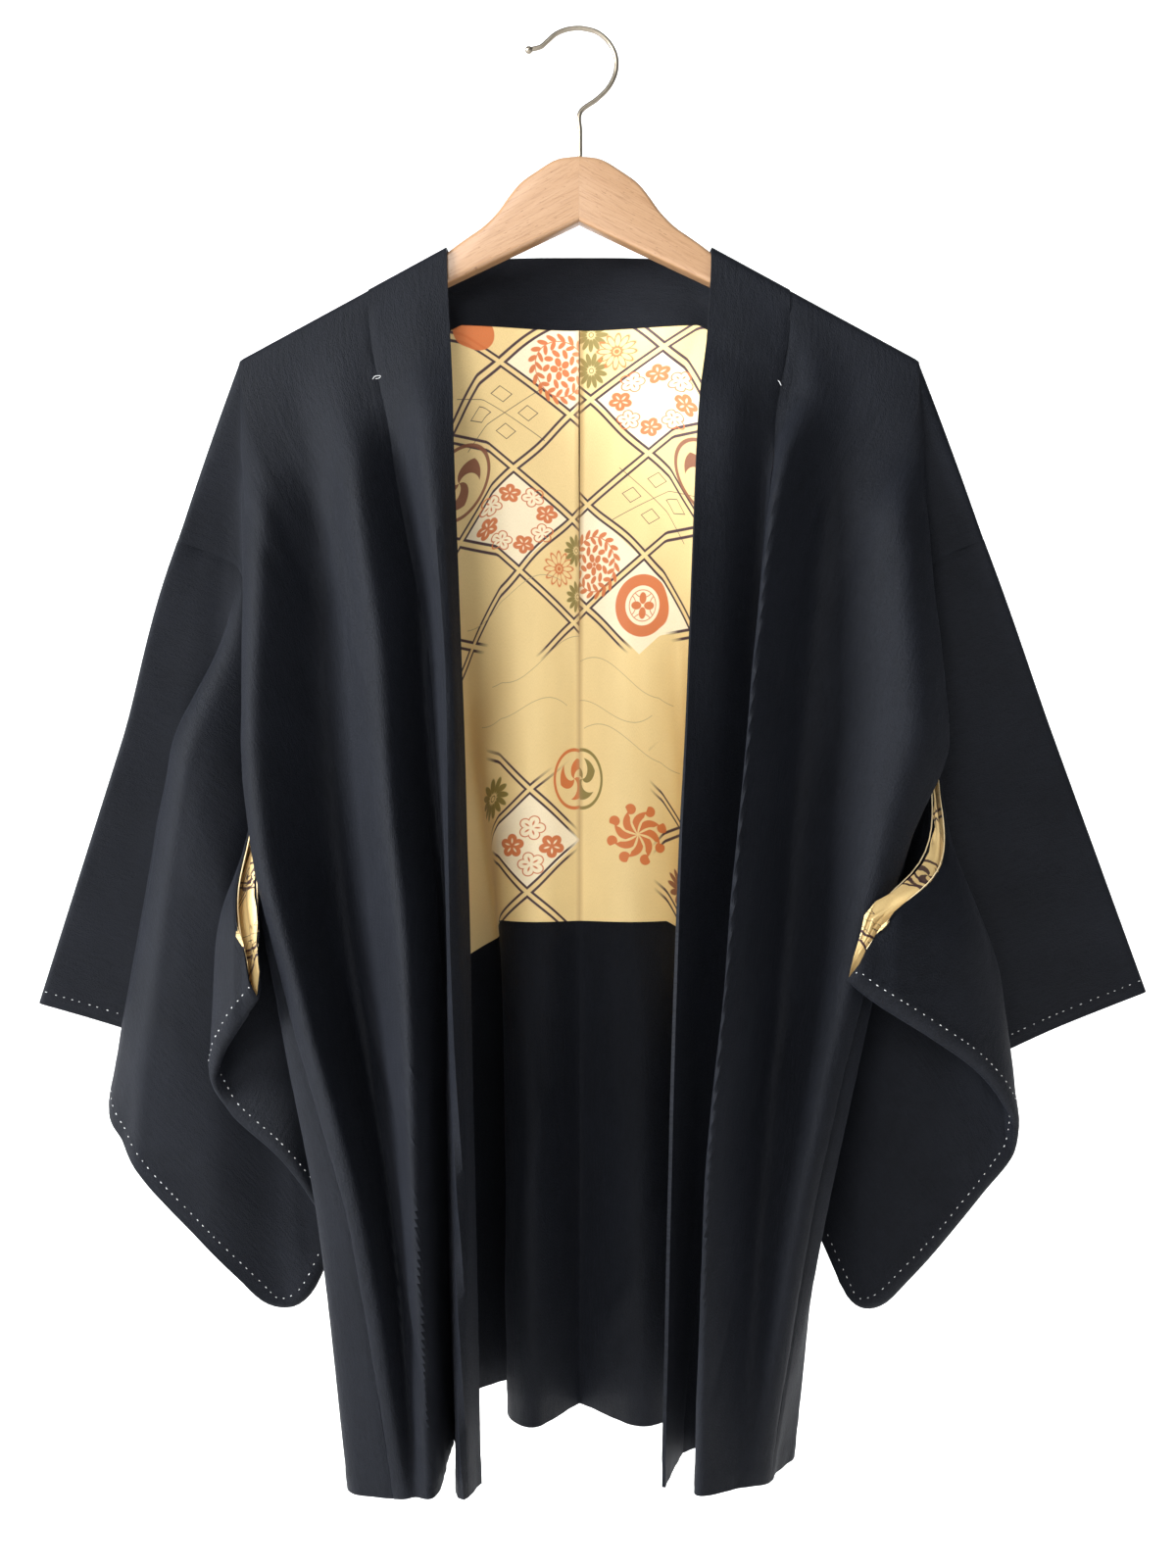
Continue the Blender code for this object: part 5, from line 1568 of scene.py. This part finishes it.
# ------------------------------------------------------------------ hanger
ARM_THICK = 0.013
ARM_ROUND = 0.0026                 # radius of the arm's rounded edges
MITRE_GAP = 0.00003                # between the two arms
WIRE_RADIUS = 0.0015
HOOK_BALL = 0.0024                 # radius of the ball at the wire's end
# outlines as (distance from the middle, z), from the middle outwards and back
ARM_TOP = ((.0000, -.0804), (.0136, -.0823), (.0266, -.0898), (.0372, -.0975),
           (.0437, -.1052), (.0514, -.1158), (.0607, -.1251), (.0685, -.1306),
           (.0762, -.1360), (.0830, -.1412), (.2040, -.2071), (.2085, -.2100))
ARM_LOW = ((.2110, -.2135), (.2085, -.2178), (.2030, -.2175), (.0843, -.1614), (.0000, -.1214))
HOOK_PATH = ((.0006, -.0920), (.0006, -.0640), (.0006, -.0513), (.0112, -.0428),
             (.0183, -.0357), (.0226, -.0273), (.0236, -.0192), (.0222, -.0128),
             (.0183, -.0062), (.0112, -.0004), (.0031, .0019), (-.0012, .0022),
             (-.0084, .0012), (-.0150, -.0017), (-.0202, -.0062), (-.0242, -.0096),
             (-.0300, -.0112))


def arm(side, wood):
    """One flat arm with rounded edges, mitred at the middle."""
    top = spline(ARM_TOP[:10], 6)
    outline_points = [(MITRE_GAP / 2, ARM_TOP[0][1]), *top[1:].tolist(), *ARM_TOP[10:],
                      *ARM_LOW[:-1], (MITRE_GAP / 2, ARM_LOW[-1][1])]
    flip = -1.0 if side == "right" else 1.0
    built = bmesh.new()
    corners = [built.verts.new((flip * u, -ARM_THICK / 2, z)) for u, z in outline_points]
    face = built.faces.new(corners)
    grown = bmesh.ops.extrude_face_region(built, geom=[face])
    rise = [item for item in grown["geom"] if isinstance(item, bmesh.types.BMVert)]
    bmesh.ops.translate(built, verts=rise, vec=(0.0, ARM_THICK, 0.0))
    rims = []
    for edge in built.edges:
        one, two = edge.verts
        flat = abs(one.co.y - two.co.y) < 1e-6
        mitre = abs(one.co.x) < 0.001 and abs(two.co.x) < 0.001
        if flat and not mitre:
            rims.append(edge)
    bmesh.ops.bevel(built, geom=rims, offset=ARM_ROUND, segments=6, profile=0.5,
                    affect="EDGES", clamp_overlap=True)
    piece = from_bmesh("arm_" + side, built, wood)
    piece.data.set_sharp_from_angle(angle=math.radians(40))
    dressed(piece, "beech", "hanger_arm_" + side)


def hook(metal):
    """Bent wire with a small ball at its end."""
    path = spline(HOOK_PATH, 8)
    curve = bpy.data.curves.new("wire_hook", "CURVE")
    curve.dimensions = "3D"
    curve.bevel_depth = WIRE_RADIUS
    curve.bevel_resolution = 6
    curve.use_fill_caps = True
    end, way = path[-1], unit(path[-1] - path[-2])
    spots = [(x, z, 1.0) for x, z in path[:-1]]
    ball_start = 39                    # degrees from the ball's pole where the wire meets it
    for turn in range(ball_start, 176, 8):
        reach = math.cos(math.radians(ball_start)) - math.cos(math.radians(turn))
        size = HOOK_BALL / WIRE_RADIUS * math.sin(math.radians(turn))
        spots.append((*(end + way * HOOK_BALL * reach), size))
    line = curve.splines.new("POLY")
    line.points.add(len(spots) - 1)
    for point, (x, z, size) in zip(line.points, spots):
        point.co = (x, 0.0, z, 1.0)
        point.radius = size
    curve.materials.append(metal)
    guide = placed("wire_guide", curve)
    mesh = evaluated(guide)
    bpy.data.objects.remove(guide)
    dressed(placed("wire_hook", mesh), "wire", "hook")


# --------------------------------------------------------- stage and light
def sweep():
    """Pale floor that curves up into a wall far behind."""
    floor_z, wall_y, radius, wide, high = -1.08, 2.6, 1.1, 5.0, 3.5
    line = [(-5.0, floor_z), (wall_y - radius, floor_z)]
    for turn in range(5, 90, 5):
        c, s = math.cos(math.radians(turn)), math.sin(math.radians(turn))
        line.append((wall_y - radius + radius * s, floor_z + radius * (1 - c)))
    line += [(wall_y, floor_z + radius), (wall_y, high)]
    points = [(x, y, z) for y, z in line for x in (-wide, wide)]
    faces = [(2 * i, 2 * i + 1, 2 * i + 3, 2 * i + 2) for i in range(len(line) - 1)]
    mesh = bpy.data.meshes.new("sweep")
    mesh.from_pydata(points, [], faces)
    mesh.materials.append(paper())
    mesh.shade_smooth()
    placed("sweep", mesh)


Lamp = namedtuple("Lamp", "name place aim size power colour")
LAMPS = [
    Lamp("key", (-0.8, -2.6, 0.7), (0.0, 0.0, -0.4), 1.0, 54.0, (1.0, 0.99, 0.97)),
    Lamp("side", (-2.0, -0.95, 0.2), (0.0, 0.0, -0.5), 0.9, 135.0, (0.94, 0.97, 1.0)),
    Lamp("fill", (1.8, -1.6, 0.1), (0.0, 0.0, -0.5), 1.8, 3.0, (0.93, 0.96, 1.0)),
    Lamp("top", (0.2, -0.2, 1.7), (0.0, 0.0, -0.4), 1.2, 6.0, (1.0, 1.0, 1.0)),
    Lamp("behind", (0.6, 1.9, 0.9), (0.0, 0.0, -0.4), 1.6, 30.0, (1.0, 1.0, 1.0)),
]


def lights():
    """A soft key, a hard light from the left for the folds, and a dim sky."""
    for lamp in LAMPS:
        data = bpy.data.lights.new(lamp.name, "AREA")
        data.size = lamp.size
        data.energy = lamp.power
        data.color = lamp.colour
        made = placed(lamp.name, data)
        made.location = lamp.place
        way = Vector(lamp.aim) - Vector(lamp.place)
        made.rotation_euler = way.to_track_quat("-Z", "Y").to_euler()
    world_light = bpy.data.worlds.new("soft studio")
    bpy.context.scene.world = world_light
    world_light.use_nodes = True
    sky = world_light.node_tree.nodes["Background"]
    sky.inputs["Color"].default_value = (0.94, 0.96, 1.0, 1.0)
    sky.inputs["Strength"].default_value = 0.17
    bpy.context.scene.view_settings.view_transform = "Standard"


def camera():
    """The photo's point of view, level and square on."""
    data = bpy.data.cameras.new("camera")
    data.sensor_width = SENSOR
    data.lens = FOCAL_PIXELS * SENSOR / IMAGE_HEIGHT
    made = placed("camera", data)
    made.location = CAMERA_PLACE
    made.rotation_euler = (math.radians(90), 0.0, 0.0)
    bpy.context.scene.camera = made


def main():
    """Sets the stage, then dresses the frame piece by piece."""
    camera()
    sweep()
    lights()
    black = crepe()
    silk = sleeve_silk()
    cream = cream_silk()
    white = thread()
    for side in ("right", "left"):
        gold = printed(side)
        body(side, black, gold)
        sleeve(side, black, silk)
        gusset(side, black)
        back_lining(side, gold)
        basting(side, white)
        edging(side, cream)
        arm(side, beech(side))
    scraps(white)
    collar(black)
    hook(steel())


main()
